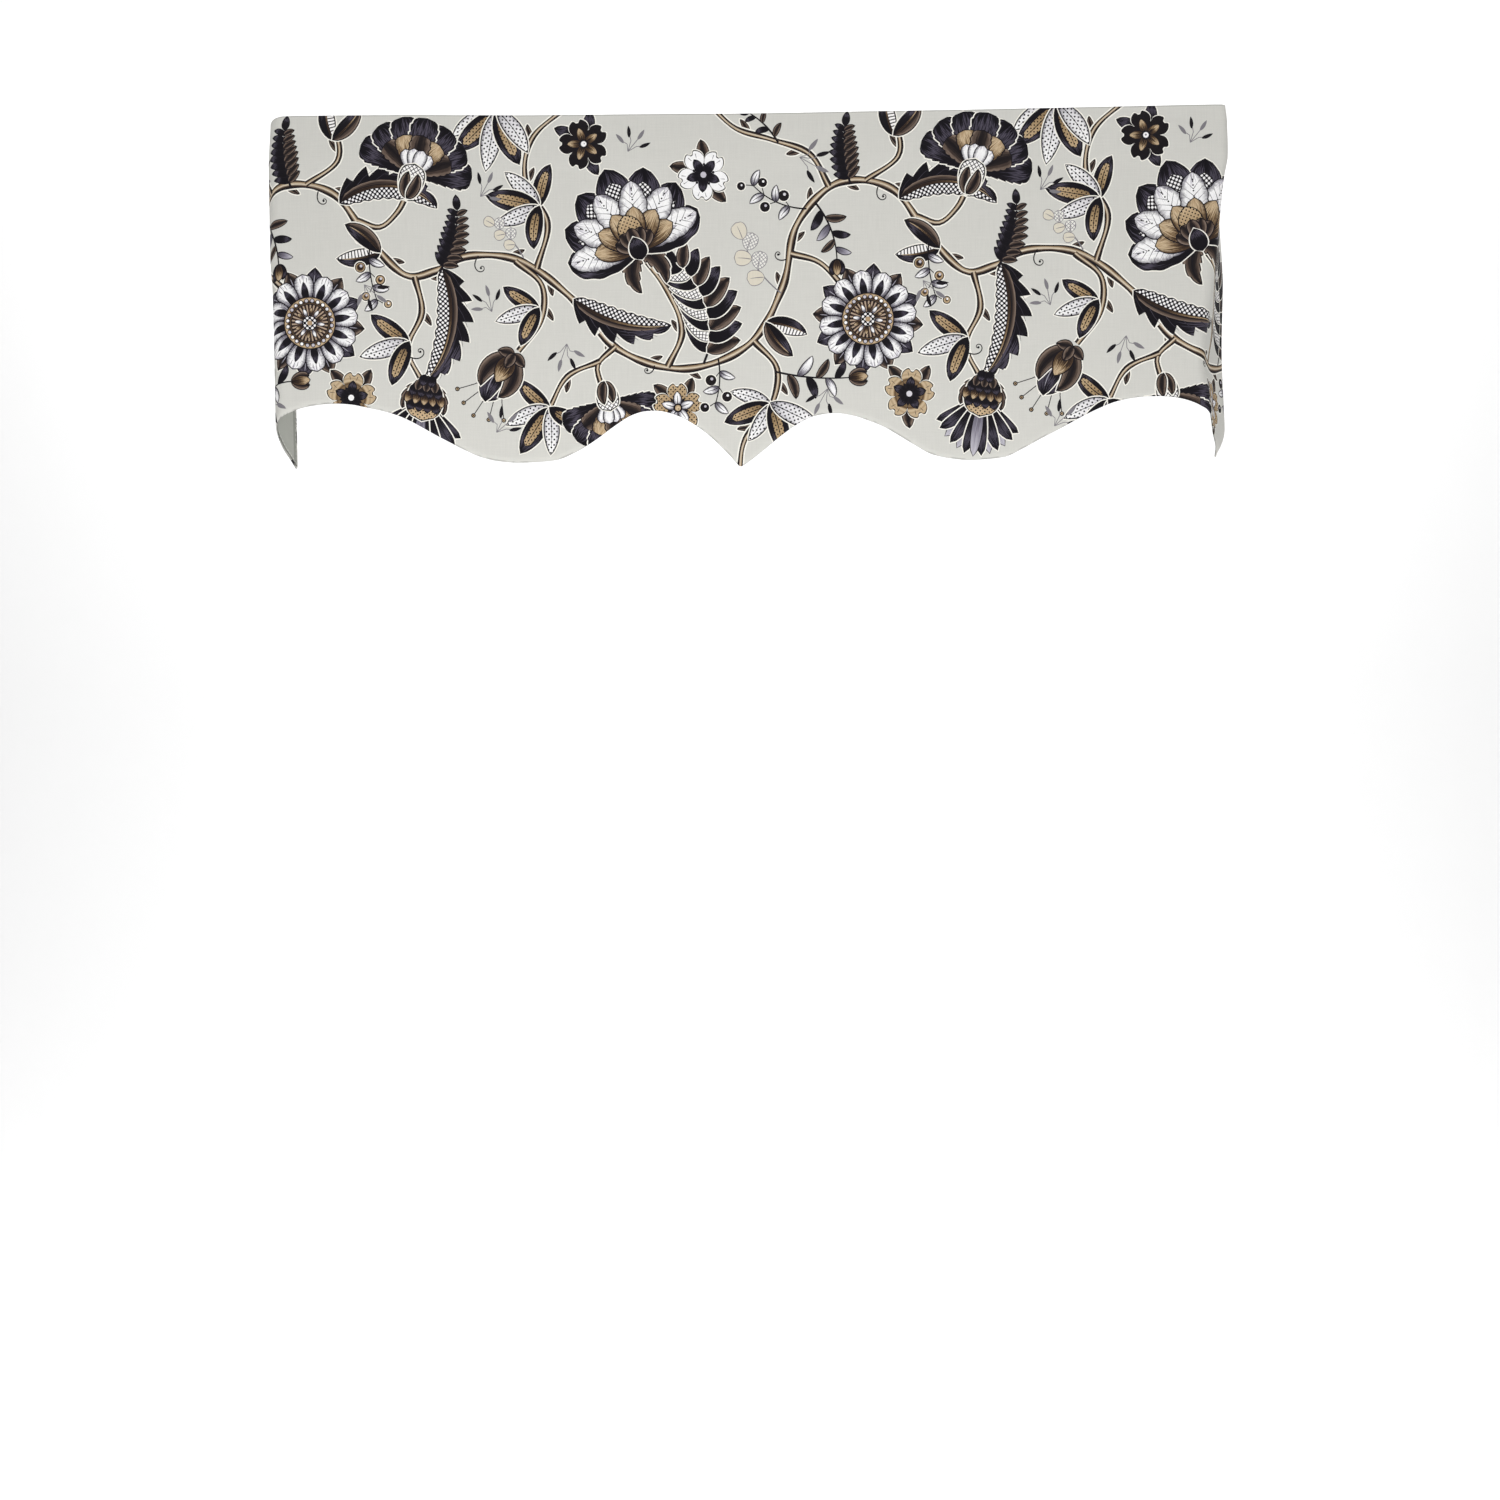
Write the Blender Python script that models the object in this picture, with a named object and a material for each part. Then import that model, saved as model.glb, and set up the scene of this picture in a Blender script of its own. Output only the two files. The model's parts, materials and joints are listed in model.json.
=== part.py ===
"""Window valance: a scalloped printed face cloth with a plain lining behind it.

One flat width of cloth hangs as a front panel and turns back at both ends into
short returns. The face cloth carries the scalloped hem, and the lining follows it
a little short of every edge. Metres, +Z up, -Y towards the room, +X to the right
as seen from the room. The origin is the middle of the top edge of the face cloth.
"""

import math

import bmesh
import bpy

# ---------------------------------------------------------------- sheets
FACE_THICKNESS = 0.0012
LINING_THICKNESS = 0.0010
SHEET_GAP = 0.00035
# How far the lining stops short of the face cloth.
HEM_INSET = 0.0030
SIDE_INSET = 0.0045
TOP_INSET = 0.0020

# ---------------------------------------------------------------- flat cloth
# s runs along the width from the left back edge to the right back edge,
# t runs down from the top edge.
LEFT_END = -0.662
RIGHT_END = 0.650
TIP_S = -0.012

# Hem of the flat cloth left of the middle point: s, drop below the top edge.
HEM_LEFT = (
    (-0.662, 0.4118), (-0.640, 0.4016), (-0.616, 0.3915), (-0.600, 0.3808),
    (-0.585, 0.3680), (-0.567, 0.3606), (-0.552, 0.3550), (-0.534, 0.3519),
    (-0.513, 0.3502), (-0.493, 0.3513), (-0.473, 0.3550), (-0.452, 0.3595),
    (-0.432, 0.3658), (-0.411, 0.3756), (-0.391, 0.3868), (-0.371, 0.3972),
    (-0.350, 0.4077), (-0.330, 0.4160), (-0.310, 0.4204), (-0.286, 0.4223),
    (-0.262, 0.4215), (-0.239, 0.4194), (-0.215, 0.4102), (-0.191, 0.3962),
    (-0.167, 0.3790), (-0.144, 0.3652), (-0.128, 0.3609), (-0.114, 0.3603),
    (-0.101, 0.3626), (-0.085, 0.3680), (-0.066, 0.3786), (-0.050, 0.3906),
    (-0.026, 0.4138), (-0.012, 0.4298),
)
# Hem of the flat cloth right of the middle point.
HEM_RIGHT = (
    (-0.012, 0.4298), (-0.002, 0.4231), (0.015, 0.4101), (0.038, 0.3917),
    (0.060, 0.3767), (0.082, 0.3674), (0.104, 0.3650), (0.128, 0.3688),
    (0.143, 0.3740), (0.165, 0.3831), (0.180, 0.3920), (0.202, 0.4055),
    (0.224, 0.4176), (0.246, 0.4225), (0.270, 0.4249), (0.290, 0.4241),
    (0.313, 0.4216), (0.336, 0.4114), (0.359, 0.3993), (0.381, 0.3885),
    (0.404, 0.3765), (0.427, 0.3656), (0.450, 0.3571), (0.472, 0.3530),
    (0.490, 0.3517), (0.504, 0.3518), (0.518, 0.3529), (0.532, 0.3555),
    (0.547, 0.3606), (0.558, 0.3664), (0.570, 0.3738), (0.590, 0.3860),
    (0.612, 0.3955), (0.632, 0.4070), (0.650, 0.4175),
)

# ---------------------------------------------------------------- hang
# Height of the top edge above its middle: s, rise. The returns droop at the left.
TOP_RISE = (
    (-0.662, -0.0050), (-0.605, -0.0045), (-0.590, -0.0020), (-0.580, 0.0012),
    (-0.568, 0.0034), (-0.550, 0.0037), (-0.430, 0.0033), (-0.340, 0.0020),
    (-0.260, 0.0010), (-0.100, 0.0006), (0.000, 0.0000), (0.060, 0.0002),
    (0.130, 0.0007), (0.270, 0.0013), (0.390, 0.0023), (0.490, 0.0032),
    (0.563, 0.0038), (0.600, 0.0036), (0.650, 0.0030),
)
# Left corner by drop: where the bend begins, its radius, its turn in degrees, and
# how far the return's rear half swings out again.
LEFT_CORNER = (
    # drop, bend_start, radius, turn, swing
    (0.000, 0.5715, 0.0165, 92.0, 0.0),
    (0.060, 0.5755, 0.0155, 93.0, 0.0),
    (0.160, 0.5760, 0.0150, 93.0, 0.0),
    (0.210, 0.5737, 0.0150, 93.5, 0.0),
    (0.330, 0.5730, 0.0150, 94.0, 0.0),
    (0.430, 0.5730, 0.0150, 94.5, 0.0),
)
# Right corner by drop: square at the top, flared outward lower down.
RIGHT_CORNER = (
    # drop, bend_start, radius, turn, swing
    (0.000, 0.5780, 0.0070, 92.0, 0.0),
    (0.060, 0.5790, 0.0080, 91.0, 0.0),
    (0.085, 0.5740, 0.0100, 84.0, 0.0),
    (0.130, 0.5670, 0.0130, 76.0, 3.0),
    (0.200, 0.5590, 0.0150, 69.0, 6.0),
    (0.310, 0.5470, 0.0150, 66.0, 11.0),
    (0.350, 0.5530, 0.0150, 69.0, 14.0),
    (0.384, 0.5572, 0.0150, 72.0, 18.0),
    (0.402, 0.5585, 0.0150, 73.0, 11.0),
    (0.412, 0.5588, 0.0150, 74.0, 4.0),
    (0.430, 0.5588, 0.0150, 75.0, 0.0),
)
# The swing begins this far along the return and takes this much cloth.
SWING_AFTER = 0.0290
SWING_RUN = 0.0150
# Room-side bulge of the whole sheet by drop.
BULGE = (
    (0.000, 0.0000), (0.018, 0.0024), (0.048, 0.0026), (0.078, 0.0008),
    (0.140, 0.0000), (0.280, 0.0006), (0.360, 0.0022), (0.430, 0.0034),
)
# Soft upright waves: centre, half width, height at the top zone, height at the hem.
WAVES = (
    (-0.470, 0.085, 0.0011, 0.0016),
    (-0.300, 0.090, -0.0013, -0.0020),
    (-0.130, 0.100, 0.0012, 0.0024),
    (0.040, 0.085, -0.0014, -0.0012),
    (0.165, 0.075, 0.0013, 0.0020),
    (0.325, 0.085, -0.0014, -0.0026),
    (0.475, 0.070, 0.0012, 0.0018),
)
# Run of cloth past the bend's beginning in which the waves and the bulge die out.
WAVE_FADE = 0.022
CURL_WIDTH = 0.0070
CURL_DEPTH = 0.0012

# ---------------------------------------------------------------- mesh
# Shares of the drop for the rows between the two edge rows at the top and the
# three at the hem.
ROWS = (0.028, 0.066, 0.118, 0.180, 0.290, 0.420, 0.550, 0.680, 0.800, 0.895, 0.955)
FRONT_STEP = 0.0150
BEND_STEP = 0.0040
RETURN_STEP = 0.0150
LEFT_BEND_S = (-0.600, -0.566)
RIGHT_BEND_S = (0.543, 0.588)


def smooth_at(table, x, column=1):
    """Value of a short table at x, by a shape-keeping cubic through its rows."""
    xs = [row[0] for row in table]
    ys = [row[column] for row in table]
    if x <= xs[0]:
        return ys[0]
    if x >= xs[-1]:
        return ys[-1]
    steps = [b - a for a, b in zip(xs, xs[1:])]
    slopes = [(b - a) / h for a, b, h in zip(ys, ys[1:], steps)]
    i = 0
    while x > xs[i + 1]:
        i += 1

    def knot_slope(k):
        if k == 0:
            return slopes[0]
        if k == len(slopes):
            return slopes[-1]
        before, after = slopes[k - 1], slopes[k]
        if before * after <= 0.0:
            return 0.0
        wa = 2.0 * steps[k] + steps[k - 1]
        wb = steps[k] + 2.0 * steps[k - 1]
        return (wa + wb) / (wa / before + wb / after)

    h = steps[i]
    u = (x - xs[i]) / h
    m0 = knot_slope(i)
    m1 = knot_slope(i + 1)
    a = (1.0 + 2.0 * u) * (1.0 - u) ** 2
    b = u * (1.0 - u) ** 2
    c = u * u * (3.0 - 2.0 * u)
    d = u * u * (u - 1.0)
    return a * ys[i] + b * h * m0 + c * ys[i + 1] + d * h * m1


def hem_drop(s):
    """Drop of the flat hem below the top edge."""
    if s <= TIP_S:
        return smooth_at(HEM_LEFT, s)
    return smooth_at(HEM_RIGHT, s)


def corner(s, t):
    """Bend start, radius, turn and swing in radians on the side of s."""
    table = RIGHT_CORNER if s >= 0.0 else LEFT_CORNER
    start = smooth_at(table, t, 1)
    radius = smooth_at(table, t, 2)
    turn = math.radians(smooth_at(table, t, 3))
    swing = math.radians(smooth_at(table, t, 4))
    return start, radius, turn, swing


def plan_point(s, t):
    """Plan position and outward direction of the sheet's middle at (s, t).

    The plan line is a chain of runs of cloth, each turning by its own angle.
    """
    side = 1.0 if s >= 0.0 else -1.0
    start, radius, turn, swing = corner(s, t)
    runs = (
        # cloth, turn
        (start, 0.0),
        (radius * turn, turn),
        (SWING_AFTER, 0.0),
        (SWING_RUN, -swing),
        (1.0, 0.0),
    )
    rest = abs(s)
    x, y, heading = 0.0, 0.0, 0.0
    for cloth, bend in runs:
        step = min(rest, cloth)
        part = bend * step / cloth
        if abs(part) < 1e-9:
            x += step * math.cos(heading)
            y += step * math.sin(heading)
        else:
            curve = step / part
            x += curve * (math.sin(heading + part) - math.sin(heading))
            y += curve * (math.cos(heading) - math.cos(heading + part))
        heading += part
        rest -= step
        if rest <= 0.0:
            break
    return side * x, y, side * math.sin(heading), -math.cos(heading)


def wave(s, t):
    """Room-side height of the soft waves and of the bulge."""
    total = smooth_at(BULGE, t)
    fade_in = min(t / 0.03, 1.0)
    down = min(t / 0.42, 1.0)
    for centre, half, top, low in WAVES:
        u = (s - centre) / half
        if abs(u) < 1.6:
            lift = math.cos(0.5 * math.pi * u / 1.6) ** 2
            total += fade_in * lift * (top + (low - top) * down)
    return total


def edge_curl(s, t):
    """Backward curl of the last few millimetres at the hem and the side edges."""
    near_hem = hem_drop(s) - t
    near_side = min(s - LEFT_END, RIGHT_END - s)
    amount = 0.0
    for distance in (near_hem, near_side):
        u = 1.0 - min(max(distance, 0.0) / CURL_WIDTH, 1.0)
        amount = max(amount, u * u)
    return -CURL_DEPTH * amount


def hang(s, t, outward):
    """Hung position of the flat point (s, t), moved outward from the mid-face."""
    x, y, nx, ny = plan_point(s, t)
    start = corner(s, t)[0]
    on_return = min(max((abs(s) - start) / WAVE_FADE, 0.0), 1.0)
    front_share = 1.0 - on_return * on_return * (3.0 - 2.0 * on_return)
    offset = wave(s, t) * front_share + edge_curl(s, t) + outward
    z = smooth_at(TOP_RISE, s) - t
    return x + nx * offset, y + ny * offset, z


def column_positions():
    """Positions along s: close in the two bends, wide on the flat, one at the tip."""
    first = LEFT_END + SIDE_INSET
    last = RIGHT_END - SIDE_INSET
    zones = (
        (first, LEFT_BEND_S[0], RETURN_STEP),
        (LEFT_BEND_S[0], LEFT_BEND_S[1], BEND_STEP),
        (LEFT_BEND_S[1], TIP_S, FRONT_STEP),
        (TIP_S, RIGHT_BEND_S[0], FRONT_STEP),
        (RIGHT_BEND_S[0], RIGHT_BEND_S[1], BEND_STEP),
        (RIGHT_BEND_S[1], last, RETURN_STEP),
    )
    out = [LEFT_END, first]
    for low, high, step in zones:
        count = max(1, math.ceil((high - low) / step))
        for k in range(count):
            out.append(low + (high - low) * (k + 1) / count)
    out.append(RIGHT_END)
    return out


def row_positions(s):
    """Drops of the rows at s, from the top edge to the hem."""
    low = hem_drop(s)
    out = [0.0, TOP_INSET]
    out += [low * share for share in ROWS]
    out += [low - CURL_WIDTH, low - HEM_INSET, low]
    return out


def draped_sheet(name, centre_offset, thickness, trim, colour):
    """Closed sheet hung from the flat grid: two faces and the rim between them.

    trim is how many edge rows and columns of the grid the sheet leaves out.
    """
    cols = column_positions()
    cols = cols[trim:len(cols) - trim]
    mesh = bpy.data.meshes.new(name)
    bm = bmesh.new()
    grids = []
    for side in (1.0, -1.0):
        outward = centre_offset + side * thickness / 2.0
        grid = []
        for s in cols:
            rows = row_positions(s)
            rows = rows[trim:len(rows) - trim]
            grid.append([bm.verts.new(hang(s, t, outward)) for t in rows])
        grids.append(grid)
    outer, inner = grids
    last_col = len(outer) - 1
    last_row = len(outer[0]) - 1
    for i in range(last_col):
        for j in range(last_row):
            bm.faces.new((outer[i][j], outer[i][j + 1], outer[i + 1][j + 1], outer[i + 1][j]))
            bm.faces.new((inner[i][j], inner[i + 1][j], inner[i + 1][j + 1], inner[i][j + 1]))
        for j in (0, last_row):
            bm.faces.new((outer[i][j], outer[i + 1][j], inner[i + 1][j], inner[i][j]))
    for i in (0, last_col):
        for j in range(last_row):
            bm.faces.new((outer[i][j], inner[i][j], inner[i][j + 1], outer[i][j + 1]))
    bmesh.ops.recalc_face_normals(bm, faces=bm.faces)
    bm.to_mesh(mesh)
    bm.free()
    obj = bpy.data.objects.new(name, mesh)
    bpy.context.scene.collection.objects.link(obj)
    material = bpy.data.materials.new(name)
    material.use_nodes = True
    shader = material.node_tree.nodes["Principled BSDF"]
    shader.inputs["Base Color"].default_value = colour
    shader.inputs["Roughness"].default_value = 0.85
    mesh.materials.append(material)
    return obj


for old in list(bpy.data.objects):
    bpy.data.objects.remove(old, do_unlink=True)

LINING_OFFSET = -(FACE_THICKNESS / 2.0 + SHEET_GAP + LINING_THICKNESS / 2.0)
draped_sheet("valance_cloth", 0.0, FACE_THICKNESS, 0, (0.66, 0.64, 0.60, 1.0))
draped_sheet("valance_lining", LINING_OFFSET, LINING_THICKNESS, 1, (0.60, 0.60, 0.57, 1.0))
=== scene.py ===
import json
import math

import bpy
import numpy as np
from mathutils import Matrix, Vector
from mathutils.geometry import delaunay_2d_cdt

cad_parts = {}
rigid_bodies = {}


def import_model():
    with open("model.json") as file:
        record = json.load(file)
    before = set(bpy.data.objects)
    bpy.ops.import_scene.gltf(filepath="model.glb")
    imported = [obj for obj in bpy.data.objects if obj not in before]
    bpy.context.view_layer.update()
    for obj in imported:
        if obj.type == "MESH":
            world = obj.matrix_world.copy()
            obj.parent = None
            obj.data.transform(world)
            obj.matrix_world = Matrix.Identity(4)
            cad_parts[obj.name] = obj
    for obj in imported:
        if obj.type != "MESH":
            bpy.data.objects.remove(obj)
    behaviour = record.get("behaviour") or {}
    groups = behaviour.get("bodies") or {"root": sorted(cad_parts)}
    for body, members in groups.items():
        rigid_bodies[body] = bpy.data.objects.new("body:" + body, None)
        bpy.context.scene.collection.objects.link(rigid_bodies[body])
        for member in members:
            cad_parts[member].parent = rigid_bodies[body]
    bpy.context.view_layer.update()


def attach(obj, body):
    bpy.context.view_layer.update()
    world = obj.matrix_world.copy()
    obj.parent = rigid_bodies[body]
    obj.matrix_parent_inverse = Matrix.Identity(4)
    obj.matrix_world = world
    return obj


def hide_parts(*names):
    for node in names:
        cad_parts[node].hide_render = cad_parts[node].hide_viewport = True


for leftover in list(bpy.data.objects):          # Blender's own first cube, lamp and camera
    bpy.data.objects.remove(leftover, do_unlink=True)
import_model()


def linearColour(hexText):
    # sRGB hex to the linear colour that shaders take
    parts = [int(hexText[i:i + 2], 16) / 255.0 for i in (1, 3, 5)]
    return [p / 12.92 if p <= 0.04045 else ((p + 0.055) / 1.055) ** 2.4 for p in parts] + [1.0]


def addNode(tree, kind, *values, **settings):
    # a node with its settings; kind may end in an operation; values or other nodes' outputs
    # go to its sockets in turn or, from a dictionary, by name
    kind, _, operation = kind.partition(" ")
    node = tree.nodes.new("ShaderNode" + kind)
    if operation:
        node.operation = operation
    for name, value in settings.items():
        setattr(node, name, value)
    byName = values[0] if values and isinstance(values[0], dict) else dict(enumerate(values))
    for name, value in byName.items():
        if isinstance(value, bpy.types.NodeSocket):
            tree.links.new(value, node.inputs[name])
        else:
            node.inputs[name].default_value = value
    return node.outputs


def addObject(name, data):
    obj = bpy.data.objects.new(name, data)
    bpy.context.scene.collection.objects.link(obj)
    return obj


def newMaterial(name, colour, roughness, **values):
    material = bpy.data.materials.new(name)
    material.use_nodes = True
    material.diffuse_color = linearColour(colour)
    shader = material.node_tree.nodes["Principled BSDF"]
    shader.inputs["Base Color"].default_value = linearColour(colour)
    shader.inputs["Roughness"].default_value = roughness
    for socket, value in values.items():
        shader.inputs[socket.replace("_", " ")].default_value = value
    return material, material.node_tree, shader


# How the cloth hangs. On the flat cloth s runs from the left back edge to the right one and
# t down from the top edge, in metres.

cloth = {
    "leftEnd": -0.662, "rightEnd": 0.650,
    "halfThickness": 0.0006,      # folded hem and lining seam, about 1.2 mm in all
    "cornerRadius": 0.0036,       # a turned-out corner is never quite sharp
    "turnedIn": 0.0033,           # print seen on the inside before the lining begins
    "curlWidth": 0.0070, "curlDepth": 0.0012,
    "waveFade": 0.022,            # the front's waves die away over this much of a return
    "waveStart": 0.03, "waveEnd": 0.42,          # drops where they have come in and are full
    "waveSpread": 1.6,            # each goes on this many half widths
    "swingAfter": 0.0290, "swingRun": 0.0150,    # along the return, before and while it turns
    "tipS": -0.012,               # the middle point of the hem
    "nudge": 0.0004,              # step for directions on the sheet
}
hemLeft = (
    (-0.662, 0.4118), (-0.640, 0.4016), (-0.616, 0.3915), (-0.600, 0.3808),
    (-0.585, 0.3680), (-0.567, 0.3606), (-0.552, 0.3550), (-0.534, 0.3519),
    (-0.513, 0.3502), (-0.493, 0.3513), (-0.473, 0.3550), (-0.452, 0.3595),
    (-0.432, 0.3658), (-0.411, 0.3756), (-0.391, 0.3868), (-0.371, 0.3972),
    (-0.350, 0.4077), (-0.330, 0.4160), (-0.310, 0.4204), (-0.286, 0.4223),
    (-0.262, 0.4215), (-0.239, 0.4194), (-0.215, 0.4102), (-0.191, 0.3962),
    (-0.167, 0.3790), (-0.144, 0.3652), (-0.128, 0.3609), (-0.114, 0.3603),
    (-0.101, 0.3626), (-0.085, 0.3680), (-0.066, 0.3786), (-0.050, 0.3906),
    (-0.026, 0.4138), (-0.012, 0.4298),
)
hemRight = (
    (-0.012, 0.4298), (-0.002, 0.4231), (0.015, 0.4101), (0.038, 0.3917),
    (0.060, 0.3767), (0.082, 0.3674), (0.104, 0.3650), (0.128, 0.3688),
    (0.143, 0.3740), (0.165, 0.3831), (0.180, 0.3920), (0.202, 0.4055),
    (0.224, 0.4176), (0.246, 0.4225), (0.270, 0.4249), (0.290, 0.4241),
    (0.313, 0.4216), (0.336, 0.4114), (0.359, 0.3993), (0.381, 0.3885),
    (0.404, 0.3765), (0.427, 0.3656), (0.450, 0.3571), (0.472, 0.3530),
    (0.490, 0.3517), (0.504, 0.3518), (0.518, 0.3529), (0.532, 0.3555),
    (0.547, 0.3606), (0.558, 0.3664), (0.570, 0.3738), (0.590, 0.3860),
    (0.612, 0.3955), (0.632, 0.4070), (0.650, 0.4175),
)
topRise = (
    (-0.662, -0.0050), (-0.605, -0.0045), (-0.590, -0.0020), (-0.580, 0.0012),
    (-0.568, 0.0034), (-0.550, 0.0037), (-0.430, 0.0033), (-0.340, 0.0020),
    (-0.260, 0.0010), (-0.100, 0.0006), (0.000, 0.0000), (0.060, 0.0002),
    (0.130, 0.0007), (0.270, 0.0013), (0.390, 0.0023), (0.490, 0.0032),
    (0.563, 0.0038), (0.600, 0.0036), (0.650, 0.0030),
)
leftCorner = (
    # drop, bend start, radius, turn, swing
    (0.000, 0.5715, 0.0165, 92.0, 0.0),
    (0.060, 0.5755, 0.0155, 93.0, 0.0),
    (0.160, 0.5760, 0.0150, 93.0, 0.0),
    (0.210, 0.5737, 0.0150, 93.5, 0.0),
    (0.330, 0.5730, 0.0150, 94.0, 0.0),
    (0.430, 0.5730, 0.0150, 94.5, 0.0),
)
rightCorner = (
    # drop, bend start, radius, turn, swing
    (0.000, 0.5780, 0.0070, 92.0, 0.0),
    (0.060, 0.5790, 0.0080, 91.0, 0.0),
    (0.085, 0.5740, 0.0100, 84.0, 0.0),
    (0.130, 0.5670, 0.0130, 76.0, 3.0),
    (0.200, 0.5590, 0.0150, 69.0, 6.0),
    (0.310, 0.5470, 0.0150, 66.0, 11.0),
    (0.350, 0.5530, 0.0150, 69.0, 14.0),
    (0.384, 0.5572, 0.0150, 72.0, 18.0),
    (0.402, 0.5585, 0.0150, 73.0, 11.0),
    (0.412, 0.5588, 0.0150, 74.0, 4.0),
    (0.430, 0.5588, 0.0150, 75.0, 0.0),
)
bulge = (
    # drop, how far the sheet stands out towards the room
    (0.000, 0.0000), (0.018, 0.0024), (0.048, 0.0026), (0.078, 0.0008),
    (0.140, 0.0000), (0.280, 0.0006), (0.360, 0.0022), (0.430, 0.0034),
)
waves = (
    # centre, half width, height near the top, height at the hem
    (-0.470, 0.085, 0.0011, 0.0016),
    (-0.300, 0.090, -0.0013, -0.0020),
    (-0.130, 0.100, 0.0012, 0.0024),
    (0.040, 0.085, -0.0014, -0.0012),
    (0.165, 0.075, 0.0013, 0.0020),
    (0.325, 0.085, -0.0014, -0.0026),
    (0.475, 0.070, 0.0012, 0.0018),
)
knownSlopes = {}


def smoothAt(table, x, column=1):
    # smooth, shape-keeping curve through a table's rows
    key = (id(table), column)
    if key not in knownSlopes:
        rows = np.array(table)
        xs, ys = rows[:, 0], rows[:, column]
        steps = np.diff(xs)
        rises = np.diff(ys) / steps
        before, after = rises[:-1], rises[1:]
        wa = 2 * steps[1:] + steps[:-1]
        wb = steps[1:] + 2 * steps[:-1]
        turning = before * after <= 0
        safeBefore = np.where(turning, 1.0, before)
        safeAfter = np.where(turning, 1.0, after)
        slopes = np.empty(len(xs))
        slopes[0], slopes[-1] = rises[0], rises[-1]
        slopes[1:-1] = np.where(turning, 0, (wa + wb) / (wa / safeBefore + wb / safeAfter))
        knownSlopes[key] = (xs, ys, steps, slopes)
    xs, ys, steps, slopes = knownSlopes[key]
    x = np.clip(x, xs[0], xs[-1])
    i = np.clip(np.searchsorted(xs, x) - 1, 0, len(steps) - 1)
    h = steps[i]
    u = (x - xs[i]) / h
    return ((1 + 2 * u) * (1 - u) ** 2 * ys[i] + u * (1 - u) ** 2 * h * slopes[i]
            + u * u * (3 - 2 * u) * ys[i + 1] + u * u * (u - 1) * h * slopes[i + 1])


def hemDrop(s):
    return np.where(s <= cloth["tipS"], smoothAt(hemLeft, s), smoothAt(hemRight, s))


def cornerAt(s, t):
    def both(column):
        return np.where(s >= 0, smoothAt(rightCorner, t, column), smoothAt(leftCorner, t, column))
    return both(1), both(2), np.radians(both(3)), np.radians(both(4))


def planPoint(s, t):
    # plan line of the sheet: front, bend, return, outward swing, rest of the return
    start, radius, turn, swing = cornerAt(s, t)
    side = np.where(s >= 0, 1.0, -1.0)
    rest = np.abs(s)
    x, y, heading = np.zeros_like(rest), np.zeros_like(rest), np.zeros_like(rest)
    for length, bend in ((start, 0.0), (radius * turn, turn), (cloth["swingAfter"], 0.0),
                         (cloth["swingRun"], -swing), (1.0, 0.0)):
        step = np.minimum(rest, length)
        part = bend * step / length
        half = part / 2
        bent = np.abs(half) >= 1e-7
        chord = step * np.where(bent, np.sin(half) / np.where(bent, half, 1.0), 1.0)
        x += chord * np.cos(heading + half)
        y += chord * np.sin(heading + half)
        heading = heading + part
        rest = rest - step
    return side * x, y, side * np.sin(heading), -np.cos(heading)


def waveAt(s, t):
    total = smoothAt(bulge, t)
    fadeIn = np.clip(t / cloth["waveStart"], 0, 1)
    down = np.clip(t / cloth["waveEnd"], 0, 1)
    for centre, half, top, low in waves:
        u = np.clip((s - centre) / half / cloth["waveSpread"], -1, 1)
        total = total + fadeIn * np.cos(0.5 * math.pi * u) ** 2 * (top + (low - top) * down)
    return total


def inFromEdge(s, t):
    # how far in from the hem or the sides
    return np.minimum(hemDrop(s) - t, np.minimum(s - cloth["leftEnd"], cloth["rightEnd"] - s))


def curlAt(s, t):
    # the last few millimetres at the hem and the sides turn back a little
    near = np.clip(inFromEdge(s, t) / cloth["curlWidth"], 0, 1)
    return -cloth["curlDepth"] * (1 - near) ** 2


def hang(points, outward):
    # flat points, x right and y up, to their hung places, moved towards the room
    s, t = points[:, 0], -points[:, 1]
    x, y, nx, ny = planPoint(s, t)
    onReturn = np.clip((np.abs(s) - cornerAt(s, t)[0]) / cloth["waveFade"], 0, 1)
    front = 1 - onReturn ** 2 * (3 - 2 * onReturn)
    offset = waveAt(s, t) * front + curlAt(s, t) + outward
    return np.stack([x + nx * offset, y + ny * offset, smoothAt(topRise, s) - t], -1)


def leftOf(along):
    # unit directions in the flat, to the left of the given ones
    normal = np.stack([-along[:, 1], along[:, 0]], -1)
    return normal / np.maximum(np.hypot(*normal.T), 1e-9)[:, None]


def unit(directions):
    return directions / np.linalg.norm(directions, axis=1)[:, None]


def hangNormal(points):
    across, down = (hang(points + step, 0.0) - hang(points - step, 0.0)
                    for step in np.array([[1, 0], [0, -1]]) * cloth["nudge"])
    return unit(np.cross(down, across))


# The print is drawn in centimetres on the flat cloth, x to the right and y up from the top
# edge. It is a general flower and vine design; each shape lies over those before it.

printPlan = {
    "repeat": 68.6,               # across the cloth: half of a 54 in width
    "lineWidth": 0.14,            # dark outline round each shape
    "gapWidth": 0.15,             # bare cloth left round a dark shape
    "stemScale": 1.24,            # makes every stem this much thicker
    "stemGap": 0.30, "stemLine": 0.13,           # how far these reach past a stem
    "stemStep": 0.55,             # between the points of a stem
    "knotSpacing": 5.2, "swell": 0.20,           # how often and how much stems swell
}
shapes = []


def addShape(points, ink, **data):
    # data says where the ink's shading runs: a leaf's spine, a disc's middle or a stem's line
    shapes.append({"points": np.asarray(points, float), "ink": ink, **data})


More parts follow.
